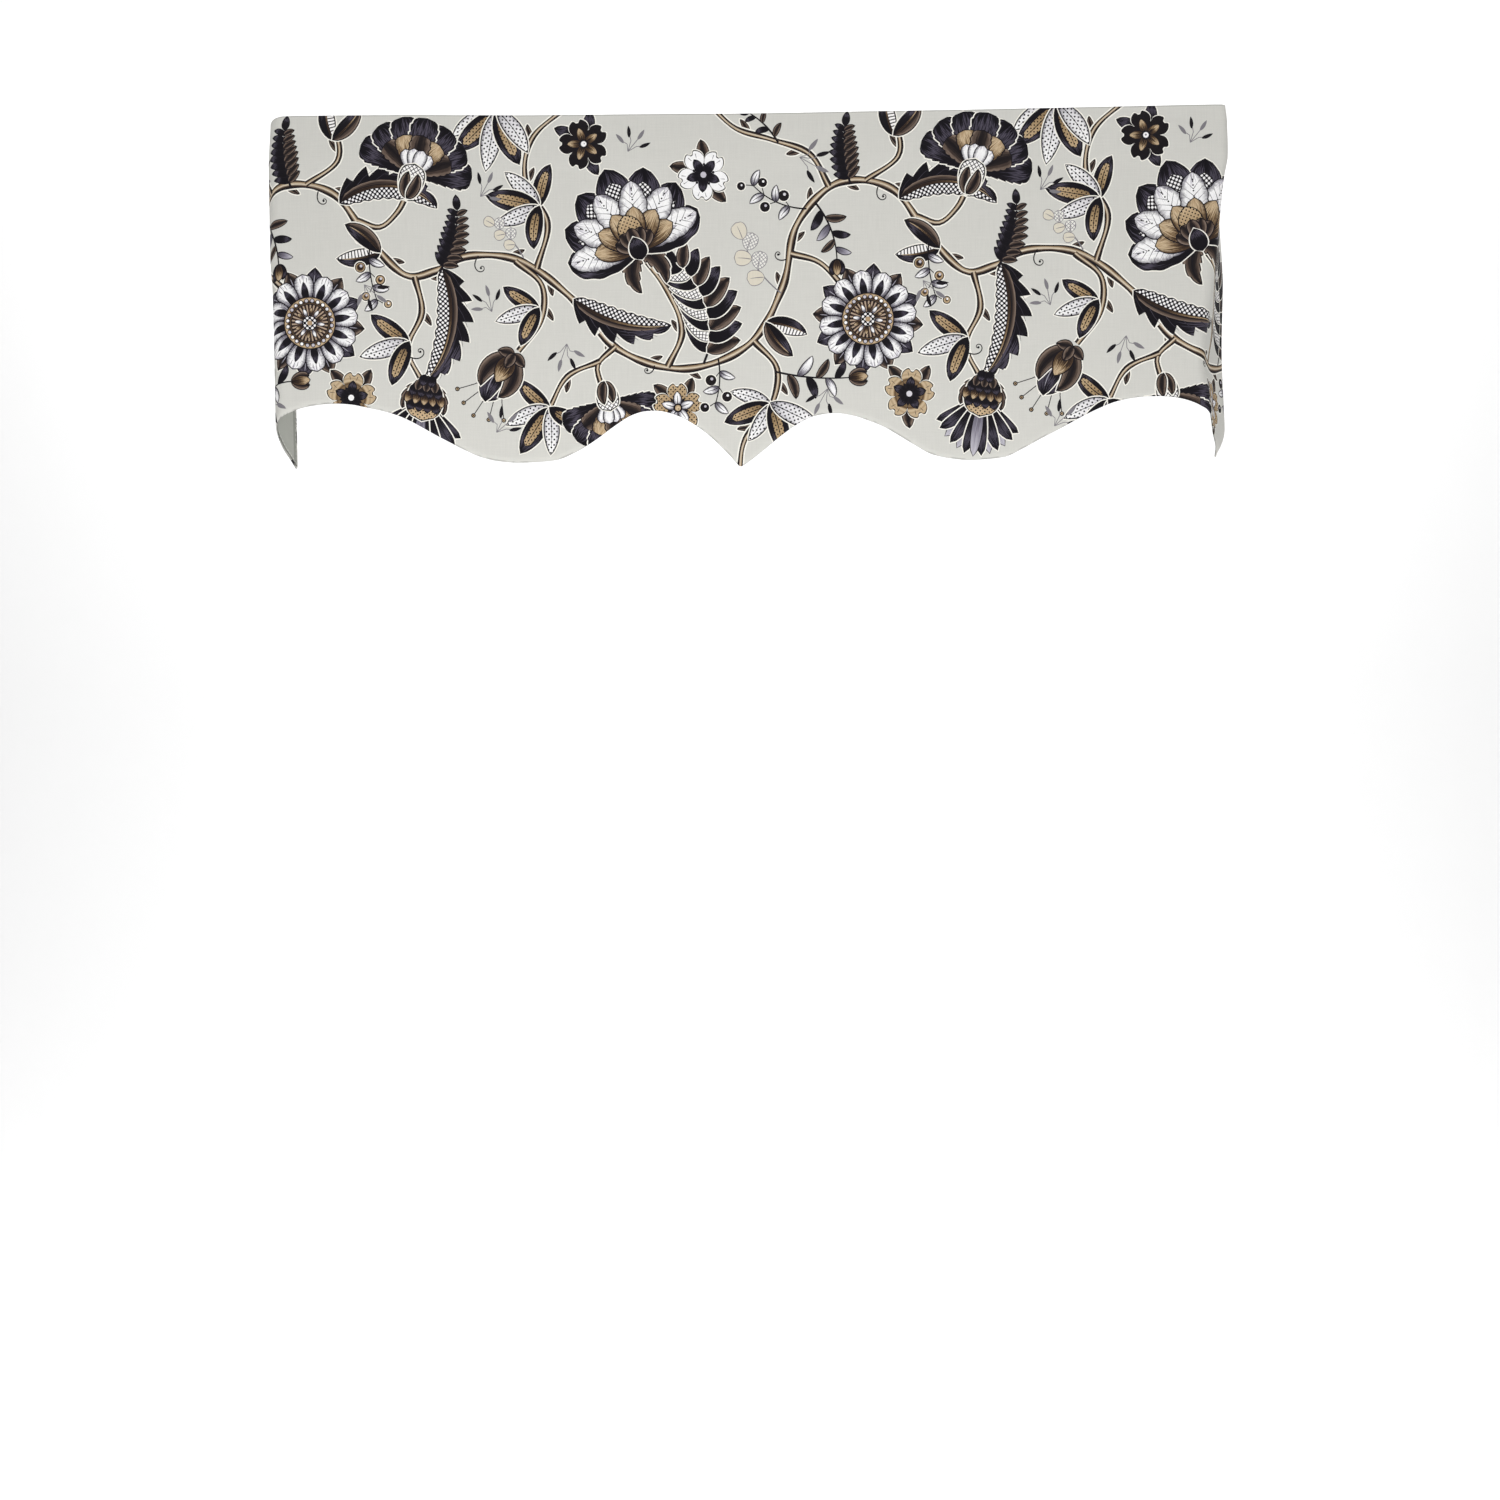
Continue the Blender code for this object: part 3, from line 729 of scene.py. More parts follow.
def drawRepeat():
    # one repeat of the design; its stems run on across its two ends
    vines((
        (0.54, 0.54, ((-34.3, -17.0), (-28.0, -17.6), (-22.0, -22.0), (-16.0, -28.6),
                      (-8.0, -31.0), (0.0, -28.0), (4.2, -21.0), (6.0, -13.5), (11.0, -8.6),
                      (17.6, -9.4), (22.0, -15.0), (26.4, -19.4), (30.4, -18.8), (34.3, -17.0))),
        (0.46, 0.38, ((-10.0, -30.8), (-8.2, -26.5), (-9.6, -22.0), (-12.6, -17.6))),
        (0.42, 0.34, ((5.2, -17.0), (8.8, -18.2), (12.0, -21.6))),
        (0.42, 0.34, ((20.6, -12.8), (23.4, -13.6), (25.6, -11.8), (26.8, -9.6))),
        (0.44, 0.32, ((-28.6, -17.6), (-25.4, -20.6), (-25.6, -25.0), (-28.4, -28.6))),
        (0.44, 0.30, ((0.6, -27.6), (3.4, -31.0), (2.6, -35.6), (-0.6, -39.6), (-1.4, -44.0))),
        (0.44, 0.30, ((27.6, -19.6), (28.4, -24.0), (26.6, -28.4), (28.4, -32.6))),
        (0.42, 0.26, ((10.0, -9.0), (7.6, -5.0), (3.0, -3.2), (-1.4, -1.8), (-4.4, 1.0))),
        (0.42, 0.26, ((-26.0, -18.6), (-24.6, -13.0), (-27.2, -8.0), (-26.4, -3.0),
                      (-22.4, 0.8))),
        (0.40, 0.30, ((-16.4, -28.2), (-18.6, -30.4), (-18.2, -33.0))),
        (0.36, 0.26, ((14.4, -8.4), (18.4, -5.6), (18.2, -2.0), (16.0, 0.8))),
        (0.38, 0.26, ((-18.3, -30.0), (-22.4, -31.8), (-24.6, -35.6))),
    ))
    frond((-5.6, -30.4), 66, 15.5, 1.5, 9, 6.4, ("black", "net"), ("brown", "black"), 40, 0.46)
    acanthus((18.6, -10.6), 40, 13.0, 5.0, -1.5, hand=-1, lobes=6)
    acanthus((-21.4, -22.4), -40, 12.6, 5.0, 0.85, lobes=6)
    acanthus((31.0, -18.6), -68, 15.0, 5.4, -1.1, hand=-1, lobes=7)
    lanceSpray((-25.6, -11.0), 168, 6.6, (-80, -40, 0, 40, 80))
    lanceSpray((2.6, -35.4), 200, 6.0, (-46, 0, 46), 1)
    lanceSpray((2.6, -35.2), -27, 7.0, (-42, 0))
    lanceSpray((26.8, -27.6), 196, 6.4, (-44, 0, 44))
    lanceSpray((-30.6, 0.6), 258, 7.6, (-58, -29, 0, 29, 58), 1)
    lanceSpray((-24.6, -35.6), 236, 6.6, (-84, -42, 0, 42, 84))
    lanceSpray((-25.8, -23.4), 196, 5.6, (-40, 0, 40), 0)
    frond((12.6, -8.8), 108, 8.0, -0.5, 8, 2.8)
    frond((30.6, -19.0), 55, 9.0, 0.7, 8, 2.8)
    leafPair((2.1, -25.4), -34, 5.2, 64)
    leafPair((23.4, -16.6), 165, 5.4, 76)
    leafPair((17.9, -3.0), 75, 5.0, 80)
    palmette((-13.4, -16.6), 112)
    bellFlower((-29.2, -29.4), 236, 1.05)
    carnation((27.2, -8.6), 74)
    carnation((-17.6, -33.8), -78, 0.86)
    thistle((28.8, -33.6), -100)
    rosette((14.6, -25.2), 6.6, 8.0)
    blossom((-8.8, -35.8), 3.0, 20.0, "seeded", "white")
    blossom((-5.4, -7.4), 3.1, 50.0, "white", "black")
    blossom((19.6, -34.4), 3.1, 10.0, "tan", "black")
    blossom((-20.0, -3.6), 3.0, 35.0, "brown", "tan")
    budSprig((8.2, -10.8), -50, 8.0, -0.7)
    budSprig((3.3, -31.4), -14, 9.4, 0.3, ("brown", "white", "black"), bud="brown")
    budSprig((3.8, -3.6), 120, 5.4, 0.5, ("brown", "black"), 2)
    coinSprig((4.0, -21.8), 142, 8.4, -0.6)
    coinSprig((-27.6, -17.2), 118, 5.5, 0.5)
    berrySprig((7.2, -11.6), 178, 7.6, -0.8, 4)
    berrySprig((22.2, -15.4), 262, 7.4, 0.5, 4, ink="tan")
    berrySprig((-3.8, -29.8), -80, 5.6, -0.5, 3)
    for place, angle, size, hand in (((-11.6, -30.4), 262, 5.0, -1), ((-33.0, -16.8), 232, 7.0, 1),
                                     ((16.0, -9.0), 250, 6.0, 1), ((26.7, -29.4), -20, 6.5, 1),
                                     ((4.9, -17.6), 200, 5.5, -1)):
        tendril(place, angle, size, hand)
    for place, angle, size, hand in (((6.4, -5.4), 330, 3.6, 1), ((-32.8, -9.8), 60, 3.0, -1),
                                     ((-31.6, -23.8), 100, 3.0, 1), ((-22.4, -27.8), 250, 3.2, 1),
                                     ((21.4, -20.6), 320, 3.2, -1), ((-31.2, -38.6), 40, 3.2, 1),
                                     ((-14.6, -4.6), 50, 3.0, 1), ((9.6, -33.6), 240, 3.2, 1)):
        ghostSpray(place, angle, size, hand)


drawRepeat()
print("print drawn:", len(shapes), "shapes a repeat")


# The mesh of the printed side is cut along every edge of the print that shows. It is cut in
# the print's centimetres, where the triangulation has room, and then kept in metres.

meshPlan = {
    "frontStep": 0.0080, "bendStep": 0.0020, "rowStep": 0.0085, "edgeStep": 0.0060,
    "insideStep": 0.012, "insideRowStep": 0.014,
    "firstRow": 0.010, "lastRow": 0.44,
    "stagger": 0.0006,            # of every other row, so that no four points lie on a circle
    "sliver": 1e-13,              # twice the area of a triangle that is dropped
    "bendZones": ((-0.602, -0.566), (0.541, 0.590)),
    "rings": (-0.0070, -0.0045, -0.0022),        # inside the edge, where the hem curls
    "ringClearance": 0.0095, "insideClearance": 0.0100,
    "printLimits": ((-66.8, -43.6), (65.6, 0.6)),         # centimetres, a little past the cloth
}


def vectors(points):
    return [Vector(p) for p in points.tolist()]


def fanned(faces):
    return np.array([(f[0], f[k], f[k + 1]) for f in faces for k in range(1, len(f) - 1)])


def twiceArea(points, triangles):
    # above zero where a triangle runs anticlockwise
    a, b, c = (points[triangles[:, k]] for k in range(3))
    return np.cross(b - a, c - a)


def inBend(s, margin=0.0):
    return any(low - margin < s < high + margin for low, high in meshPlan["bendZones"])


def spacedS(low, high, wide):
    # positions along s: wide apart on the flat, close in the two bends
    cuts = sorted({low, high, *(c for zone in meshPlan["bendZones"] for c in zone if low < c < high)})
    out = [low]
    for a, b in zip(cuts, cuts[1:]):
        count = max(1, math.ceil((b - a) / (meshPlan["bendStep"] if inBend((a + b) / 2) else wide)))
        out += [a + (b - a) * (k + 1) / count for k in range(count)]
    return np.array(out)


def flatOutline():
    # clockwise round the flat cloth from its top left corner, with a fillet at each corner
    left, right, radius = cloth["leftEnd"], cloth["rightEnd"], cloth["cornerRadius"]
    topS, lowLeft, lowRight = (spacedS(a, b, meshPlan["edgeStep"]) for a, b in (
        (left, right), (left, cloth["tipS"]), (cloth["tipS"], right)))
    p = [(s, 0.0) for s in topS]
    p += [(right, -v) for v in np.linspace(0.0, hemDrop(right), 60)[1:]]
    p += [(s, -hemDrop(s)) for s in np.concatenate([lowLeft, lowRight[1:]])[::-1][1:]]
    p += [(left, -v) for v in np.linspace(hemDrop(left), 0.0, 60)[1:-1]]
    p = np.array(p)
    out = []
    for a, b, c in zip(np.roll(p, 1, 0), p, np.roll(p, -1, 0)):
        u, v = a - b, c - b
        u, v = u / np.hypot(*u), v / np.hypot(*v)
        inner = math.acos(float(np.clip(u @ v, -1, 1)))
        if inner > math.radians(150):
            out.append(b)
            continue
        reach = radius / math.tan(inner / 2)
        centre = b + (u + v) / np.hypot(*(u + v)) * radius / math.sin(inner / 2)
        first, last = b + u * reach - centre, b + v * reach - centre
        a0 = math.atan2(first[1], first[0])
        turn = (math.atan2(last[1], last[0]) - a0 + math.pi) % (2 * math.pi) - math.pi
        for k in range(7):
            angle = a0 + turn * k / 6
            out.append(centre + radius * np.array([math.cos(angle), math.sin(angle)]))
    p = np.array(out)
    return p[np.hypot(*(p - np.roll(p, 1, 0)).T) > cloth["nudge"]]


edgeLoop = flatOutline()
edgeNormals = leftOf(np.roll(edgeLoop, -1, 0) - np.roll(edgeLoop, 1, 0))
halfThick = cloth["halfThickness"]
rollRun = math.pi * halfThick                    # cloth used by the half turn over the edge
outerLoop = edgeLoop + edgeNormals * (rollRun + cloth["turnedIn"])


def nearestOnEdge(points):
    # foot, distance and outward direction from the cloth's edge, for points outside it
    edge = np.roll(edgeLoop, -1, 0) - edgeLoop
    best = np.full(len(points), 1e9)
    foot, side = np.zeros((2, len(points), 2))
    for start, run, normal in zip(edgeLoop, edge, leftOf(edge)):
        share = np.clip(((points - start) @ run) / (run @ run), 0, 1)
        place = start + share[:, None] * run
        gap = np.hypot(*(points - place).T)
        closer = gap < best
        best[closer], foot[closer], side[closer] = gap[closer], place[closer], normal
    away = (points - foot) / np.maximum(best, 1e-9)[:, None]
    return foot, best, np.where((best > 1e-6)[:, None], away, side)


def placeFront(points):
    # flat points of the printed side to their hung places and normals; what lies past
    # the edge rolls over it and comes back along the inside; also how far past it is
    beyond = ~insidePolygon(edgeLoop, points)
    where, normal = hang(points, halfThick), hangNormal(points)
    run = np.full(len(points), -0.001)
    foot, past, direction = nearestOnEdge(points[beyond])
    angle = np.minimum(past / halfThick, math.pi)[:, None]
    base = foot - direction * np.maximum(past - rollRun, 0.0)[:, None]
    out = unit(hang(base, 0.0) - hang(base - direction * cloth["nudge"], 0.0))
    normal[beyond] = hangNormal(base) * np.cos(angle) + out * np.sin(angle)
    where[beyond] = hang(base, 0.0) + normal[beyond] * halfThick
    run[beyond] = past
    return where, normal, run


def gridPoints(clearance, step, rowStep):
    # spread of plain points inside the cloth, clear of the rings near its edge
    rows = np.arange(meshPlan["firstRow"], meshPlan["lastRow"], rowStep)
    x, y = np.meshgrid(spacedS(edgeLoop[:, 0].min(), edgeLoop[:, 0].max(), step), -rows)
    x = x + (np.arange(len(rows)) % 2)[:, None] * meshPlan["stagger"]
    points = np.stack([x.ravel(), y.ravel()], -1)
    return points[inFromEdge(points[:, 0], -points[:, 1]) > clearance]


def finePolygon(points):
    # splits long edges, and more closely where they cross a bend
    out = []
    for a, b in zip(points, np.roll(points, -1, 0)):
        longest = 0.22 if inBend((a[0] + b[0]) / 200.0, 0.004) else 0.9
        parts = int(math.hypot(*(b - a)) / longest)
        out += [a] + [a + (b - a) * (k + 1) / (parts + 1) for k in range(parts)]
    return np.array(out)


def insidePolygon(polygon, points):
    # in batches, so that it fits in memory
    batch = 20000
    a, b = polygon, np.roll(polygon, -1, 0)
    a, b = a[a[:, 1] != b[:, 1]], b[a[:, 1] != b[:, 1]]
    slope = ((b[:, 0] - a[:, 0]) / (b[:, 1] - a[:, 1]))[:, None]
    inside = np.zeros(len(points), bool)
    for first in range(0, len(points), batch):
        x, y = points[first:first + batch].T
        crosses = (a[:, 1, None] > y) != (b[:, 1, None] > y)
        crosses &= x < a[:, 0, None] + slope * (y - a[:, 1, None])
        inside[first:first + batch] = crosses.sum(0) % 2 == 1
    return inside


def topShape(points):
    # number of the last shape over each point, -1 on bare cloth
    order = np.argsort(points[:, 0])
    xs = points[order, 0]
    top = np.full(len(points), -1)
    for i, (index, k, polygon) in enumerate(placed):
        low, high = polygon.min(0), polygon.max(0)
        near = order[slice(*np.searchsorted(xs, [low[0], high[0]]))]
        near = near[(points[near, 1] >= low[1]) & (points[near, 1] <= high[1])]
        if len(near):
            top[near[insidePolygon(polygon, points[near])]] = i
    return top


# every print shape in each repeat that reaches the cloth, in drawing order
placed = []
low, high = meshPlan["printLimits"]
for index, shape in enumerate(shapes):
    for k in (-1, 0, 1):
        moved = shape["points"] + np.array([k * printPlan["repeat"], 0.0])
        if (moved.max(0) > low).all() and (moved.min(0) < high).all():
            placed.append((index, k, finePolygon(moved)))

# only edges that no later shape covers take part in the mesh
segmentStart = np.concatenate([polygon for index, k, polygon in placed])
segmentEnd = np.concatenate([np.roll(polygon, -1, 0) for index, k, polygon in placed])
segmentOwner = np.repeat(np.arange(len(placed)), [len(polygon) for index, k, polygon in placed])
uncovered, onCloth = np.zeros((2, len(segmentOwner)), bool)
for points in (segmentStart, (segmentStart + segmentEnd) / 2, segmentEnd):
    uncovered |= topShape(points) <= segmentOwner
    onCloth |= insidePolygon(outerLoop * 100.0, points)
shown = uncovered & onCloth
print("edges shown:", int(shown.sum()), "of", len(shown))

vertices, edges = [], []
for loop in [outerLoop] + [edgeLoop + edgeNormals * rollRun * e for e in (0.0, 0.25, 0.5, 0.75, 1.0)] \
        + [edgeLoop + edgeNormals * e for e in meshPlan["rings"]]:
    ids = list(range(len(vertices), len(vertices) + len(loop)))
    edges += zip(ids, ids[1:] + ids[:1])
    vertices += vectors(loop * 100.0)
for a, b in zip(vectors(segmentStart[shown]), vectors(segmentEnd[shown])):
    edges.append((len(vertices), len(vertices) + 1))
    vertices += [a, b]
vertices += vectors(gridPoints(meshPlan["ringClearance"], meshPlan["frontStep"],
                               meshPlan["rowStep"]) * 100.0)
made = delaunay_2d_cdt(vertices, edges, [list(range(len(outerLoop)))], 1, 1e-4, False)
flat = np.array([v[:] for v in made[0]]) / 100.0
triangles = fanned(made[2])
triangles = triangles[insidePolygon(outerLoop, flat[triangles].mean(1))]
triangles = triangles[np.abs(twiceArea(flat, triangles)) > meshPlan["sliver"]]
triangleOwner = topShape(flat[triangles].mean(1) * 100.0)
clockwise = twiceArea(flat, triangles) < 0
triangles[clockwise] = triangles[clockwise][:, ::-1]
used, triangles = np.unique(triangles, return_inverse=True)
triangles, flat = triangles.reshape(-1, 3), flat[used]
print("printed side:", len(flat), "points", len(triangles), "triangles")
frontPlaces, frontNormals, edgeRun = placeFront(flat)

# the inside of the same cloth, closed onto the turned-in edge of the printed side
sides = np.concatenate([triangles[:, (0, 1)], triangles[:, (1, 2)], triangles[:, (2, 0)]])
paired = {tuple(pair) for pair in sides}
following = {int(a): int(b) for a, b in sides if (b, a) not in paired}
rim = [next(iter(following))]
while following[rim[-1]] != rim[0]:
    rim.append(following[rim[-1]])
print("rim:", len(rim), "of", len(following))
foot, past, direction = nearestOnEdge(flat[rim])
depth = np.maximum(past - rollRun, 0.0)
for _ in range(12):                              # the two edges at a point must not cross
    room = nearestOnEdge(foot - direction * depth[:, None])[1]
    depth = np.where(room < depth * 0.999, room * 0.9, depth)
rimFlat = foot - direction * depth[:, None]
insidePoints = gridPoints(meshPlan["insideClearance"], meshPlan["insideStep"],
                          meshPlan["insideRowStep"])
ringFlat = edgeLoop + edgeNormals * meshPlan["rings"][0]
made = delaunay_2d_cdt(vectors(np.concatenate([rimFlat, insidePoints, ringFlat]) * 100), [],
                       [list(range(len(rim)))], 1, 1e-6, True)
innerFlat = np.array([v[:] for v in made[0]]) / 100.0
innerIndex = np.full(len(innerFlat), -1)
for i, origins in enumerate(made[3]):
    onRim = [o for o in origins if o < len(rim)]
    if onRim:
        innerIndex[i] = rim[onRim[0]]
fresh = np.where(innerIndex < 0)[0]
innerIndex[fresh] = len(flat) + np.arange(len(fresh))
innerTriangles = fanned(made[2])
innerTriangles = innerTriangles[insidePolygon(rimFlat, innerFlat[innerTriangles].mean(1))]
anticlockwise = twiceArea(innerFlat, innerTriangles) > 0
innerTriangles[anticlockwise] = innerTriangles[anticlockwise][:, ::-1]
innerUv = innerFlat[innerTriangles].reshape(-1, 2)
allTriangles = np.concatenate([triangles, innerIndex[innerTriangles]])
used, allTriangles = np.unique(allTriangles, return_inverse=True)
allTriangles = allTriangles.reshape(-1, 3)
allPlaces = np.concatenate([frontPlaces, hang(innerFlat[fresh], -halfThick)])[used]
allNormals = np.concatenate([frontNormals, -hangNormal(innerFlat[fresh])])[used]
print("cloth:", len(allTriangles), "triangles")


def nearPath(line, points):
    # distance along a stem's line and signed distance from it
    a, edge = line[:-1], np.diff(line, axis=0)
    lengths = np.hypot(*edge.T)
    starts = np.concatenate([[0.0], np.cumsum(lengths)[:-1]])
    offset = points[:, None, :] - a[None]
    share = np.clip((offset * edge).sum(-1) / lengths ** 2, 0, 1)
    gap = offset - share[..., None] * edge
    distance = np.hypot(gap[..., 0], gap[..., 1])
    i = distance.argmin(1)
    rows = np.arange(len(points))
    side = edge[i, 0] * offset[rows, i, 1] - edge[i, 1] * offset[rows, i, 0]
    return starts[i] + share[rows, i] * lengths[i], distance[rows, i] * np.sign(side)


# the ink of each triangle, and where it lies within its own motif, for streaks and nets
inkNames = ["ground"]
inkIndex = np.zeros(len(triangles), int)
cornerFlat = flat[triangles].reshape(-1, 2) * 100.0
blank = np.zeros_like(cornerFlat)
uvMaps = {
    "cloth": cornerFlat / 100.0,
    "share": blank.copy(),                       # across -1 to 1 and along 0 to 1 of a petal
    "local": cornerFlat.copy(),                  # centimetres along and across
    "place": blank.copy(),                       # a number of its own for each petal
    "edge": blank.copy(),                        # millimetres past the folded edge
}
uvMaps["edge"][:, 0] = edgeRun[triangles].ravel() * 1000.0
order = np.argsort(triangleOwner, kind="stable")
for group in np.split(order, np.flatnonzero(np.diff(triangleOwner[order])) + 1):
    if triangleOwner[group[0]] < 0:
        continue
    index, k, polygon = placed[triangleOwner[group[0]]]
    shape = shapes[index]
    if shape["ink"] not in inkNames:
        inkNames.append(shape["ink"])
    inkIndex[group] = inkNames.index(shape["ink"])
    rows = (group[:, None] * 3 + np.arange(3)).ravel()
    points = cornerFlat[rows] - np.array([k * printPlan["repeat"], 0.0])
    uvMaps["place"][rows] = ((index * 0.618034) % 1.0, 0.5)      # the golden share spreads them
    if "leaf" in shape:
        leaf = shape["leaf"]
        u, v = offSpine(shape["spine"], points)
        half = np.maximum(halfWidth(u, leaf["width"], leaf["base"], leaf["tip"]),
                          0.10 * leaf["width"])
        share, local = (np.clip(v / half, -1.3, 1.3), u), (u * shape["spine"]["length"], v)
    elif "radius" in shape:
        local = (points - np.array(shape["place"])).T
        share = (np.zeros(len(rows)), np.hypot(*local) / shape["radius"])
    elif "line" in shape:
        along, side = nearPath(shape["line"], points)
        share, local = (side / (0.5 * shape["width"]), along * 0.2), (along, side)
    else:
        continue
    uvMaps["share"][rows], uvMaps["local"][rows] = np.stack(share, -1), np.stack(local, -1)
print("inks:", inkNames)


# Printed furnishing cotton: a plain-woven cotton duck, bleached, pigment-printed and pressed.
# To the eye it is matt with a faint sheen along the thread, and its ink sinks in.
cottonLook = {
    "roughness": 0.88, "sheen": 0.04, "specular": 0.12,
    "threadPitch": 0.0009,        # really about 0.5 mm; drawn coarser so that it shows at all
    "threadHeight": 0.00006, "bump": 0.6,
    "threadsPerMetre": 900.0,     # of the uneven ones
    "slubLength": 0.030,
    "tint": 0.06,                 # how much lighter and darker the threads go
    # painted shade: a thin darker band along the folded edge, where the cloth turns away from the
    # light
    "foldMiddle": 0.9, "foldReach": 1.6, "paintedFoldShade": 0.35,   # mm past the edge, mm, share
}
inkLooks = {
    # axis the shade runs along, its colours by share of that axis, how far fine streaks
    # push it and how many there are; rim, hatching at the edges from one reach to another;
    # then a second colour laid over it as a pattern
    "ground": {"colour": "#D0CFC9"},
    "gap": {"colour": "#F1EEE5"},
    "cream": {"colour": "#D9D2C2"},
    "line": {"colour": "#1B181D"},
    "grey": {"colour": "#7E7B80"},
    "black": {"axis": "along", "streak": 0.40, "count": 12.0,
              "stops": ((0.0, "#141217"), (0.62, "#17141A"), (0.78, "#55505E"), (0.85, "#1B181F"),
                        (1.0, "#121015"))},
    "brown": {"axis": "middle", "streak": 0.36, "count": 8.0,
              "stops": ((0.0, "#1A1619"), (0.40, "#2C2524"), (0.66, "#54463E"), (1.0, "#857468"))},
    "tan": {"axis": "along", "streak": 0.52, "count": 11.0,
            "stops": ((0.0, "#1D1717"), (0.50, "#3B2D25"), (0.67, "#937959"), (0.85, "#D3BE9E"),
                      (1.0, "#AD9372")),
            "rim": (1.06, 1.50, "#4C3A2B")},
    "white": {"axis": "along", "streak": 0.44, "count": 12.0,
              "stops": ((0.0, "#302D36"), (0.26, "#7F7B86"), (0.45, "#E9E8EA"), (0.88, "#FCFBFA"),
                        (1.0, "#C2BEC7")),
              "rim": (1.02, 1.50, "#54505C")},
    "spotted": {"axis": "along", "streak": 0.30, "count": 8.0,
                "stops": ((0.0, "#5B5762"), (0.24, "#DAD8DB"), (1.0, "#FAF9F7")),
                "rim": (1.16, 1.60, "#77737E"),
                "pattern": "dots", "mark": "#221F26", "pitch": 0.46, "size": 0.24},
    "lilac": {"axis": "along", "streak": 0.40, "count": 7.0,
              "stops": ((0.0, "#2E2A33"), (0.5, "#7B7784"), (1.0, "#BFBCC5"))},
    "stem": {"axis": "across", "streak": 0.30, "count": 3.0,
             "stops": ((-1.0, "#241F1E"), (-0.58, "#3A2E28"), (-0.36, "#84705E"), (0.04, "#DDD1BC"),
                       (0.40, "#B9A58A"), (0.76, "#80694F"), (1.0, "#40352F"))},
    "net": {"colour": "#F6F4F2", "pattern": "net", "mark": "#262229", "pitch": 0.40, "size": 0.22},
    "fineNet": {"colour": "#E8E6E0", "pattern": "net", "mark": "#8A878C", "pitch": 0.34,
                "size": 0.20},
    "lace": {"colour": "#1E1B21", "pattern": "dots", "mark": "#F0EEEE", "pitch": 0.44, "size": 0.37},
    "bars": {"colour": "#F6F4F2", "pattern": "bars", "mark": "#2A262C", "pitch": 0.42, "size": 0.34},
    "seeded": {"axis": "along", "streak": 0.24, "count": 6.0,
               "stops": ((0.0, "#453528"), (0.4, "#A08764"), (1.0, "#C9B08D")),
               "pattern": "dots", "mark": "#2A201D", "pitch": 0.40, "size": 0.24},
    "seedHead": {"axis": "along", "streak": 0.10, "count": 9.0,
                 "stops": ((0.0, "#3A2E29"), (0.6, "#57443A"), (1.0, "#231C1C")),
                 "pattern": "rays", "mark": "#B09A85", "rays": 30.0, "size": 0.36},
}


def threadPattern(tree):
    # plain weave with uneven threads, about 0.5 to 1.5
    uv = addNode(tree, "UVMap", uv_map="cloth")[0]
    slub, across = 1.0 / cottonLook["slubLength"], cottonLook["threadsPerMetre"]
    total = 0.0
    for scale in ((slub, across, 1.0), (across, slub, 1.0)):
        stretched = addNode(tree, "Mapping", {"Vector": uv, "Scale": scale})[0]
        thread = addNode(tree, "TexNoise", {"Vector": stretched, "Scale": 1.0, "Detail": 1.0})[0]
        total = addNode(tree, "Math ADD", thread, total)[0]
    turns = math.pi / cottonLook["threadPitch"]
    angle = addNode(tree, "VectorMath MULTIPLY", uv, (turns,) * 3)[0]
    sine = addNode(tree, "SeparateXYZ", addNode(tree, "VectorMath SINE", angle)[0])
    weave = addNode(tree, "Math MULTIPLY", sine[0], sine[1])[0]
    return addNode(tree, "Math MULTIPLY_ADD", weave, 0.5, total)[0]


def weaveInto(tree, shader, colour, strength, paintEdgeShade, raised=0.0):
    # threads show in the colour a little and in the bump; painted shade makes the folded edge a little
    # darker
    threads, tint = threadPattern(tree), cottonLook["tint"]
    tint = addNode(tree, "MapRange", threads, 0.4, 1.6, 1 - tint, 1 + tint)[0]
    # painted shade along the folded edge of the hem and sides
    if paintEdgeShade:
        run = addNode(tree, "SeparateXYZ", addNode(tree, "UVMap", uv_map="edge")[0])[0]
        away = addNode(tree, "Math SUBTRACT", run, cottonLook["foldMiddle"])[0]
        away = addNode(tree, "Math ABSOLUTE", away)[0]
        edgeShadeFactor = addNode(tree, "MapRange", away, 0.3, cottonLook["foldReach"],
                       cottonLook["paintedFoldShade"], 1.0)[0]
        tint = addNode(tree, "Math MULTIPLY", tint, edgeShadeFactor)[0]
    woven = addNode(tree, "Mix", {0: 1.0, 6: colour, 7: tint}, data_type="RGBA",
                    blend_type="MULTIPLY")[2]
    height = addNode(tree, "Math MULTIPLY_ADD", threads, cottonLook["threadHeight"], raised)[0]
    bump = addNode(tree, "Bump", {"Height": height, "Strength": strength, "Distance": 1.0})[0]
    tree.links.new(woven, shader.inputs["Base Color"])
    tree.links.new(bump, shader.inputs["Normal"])


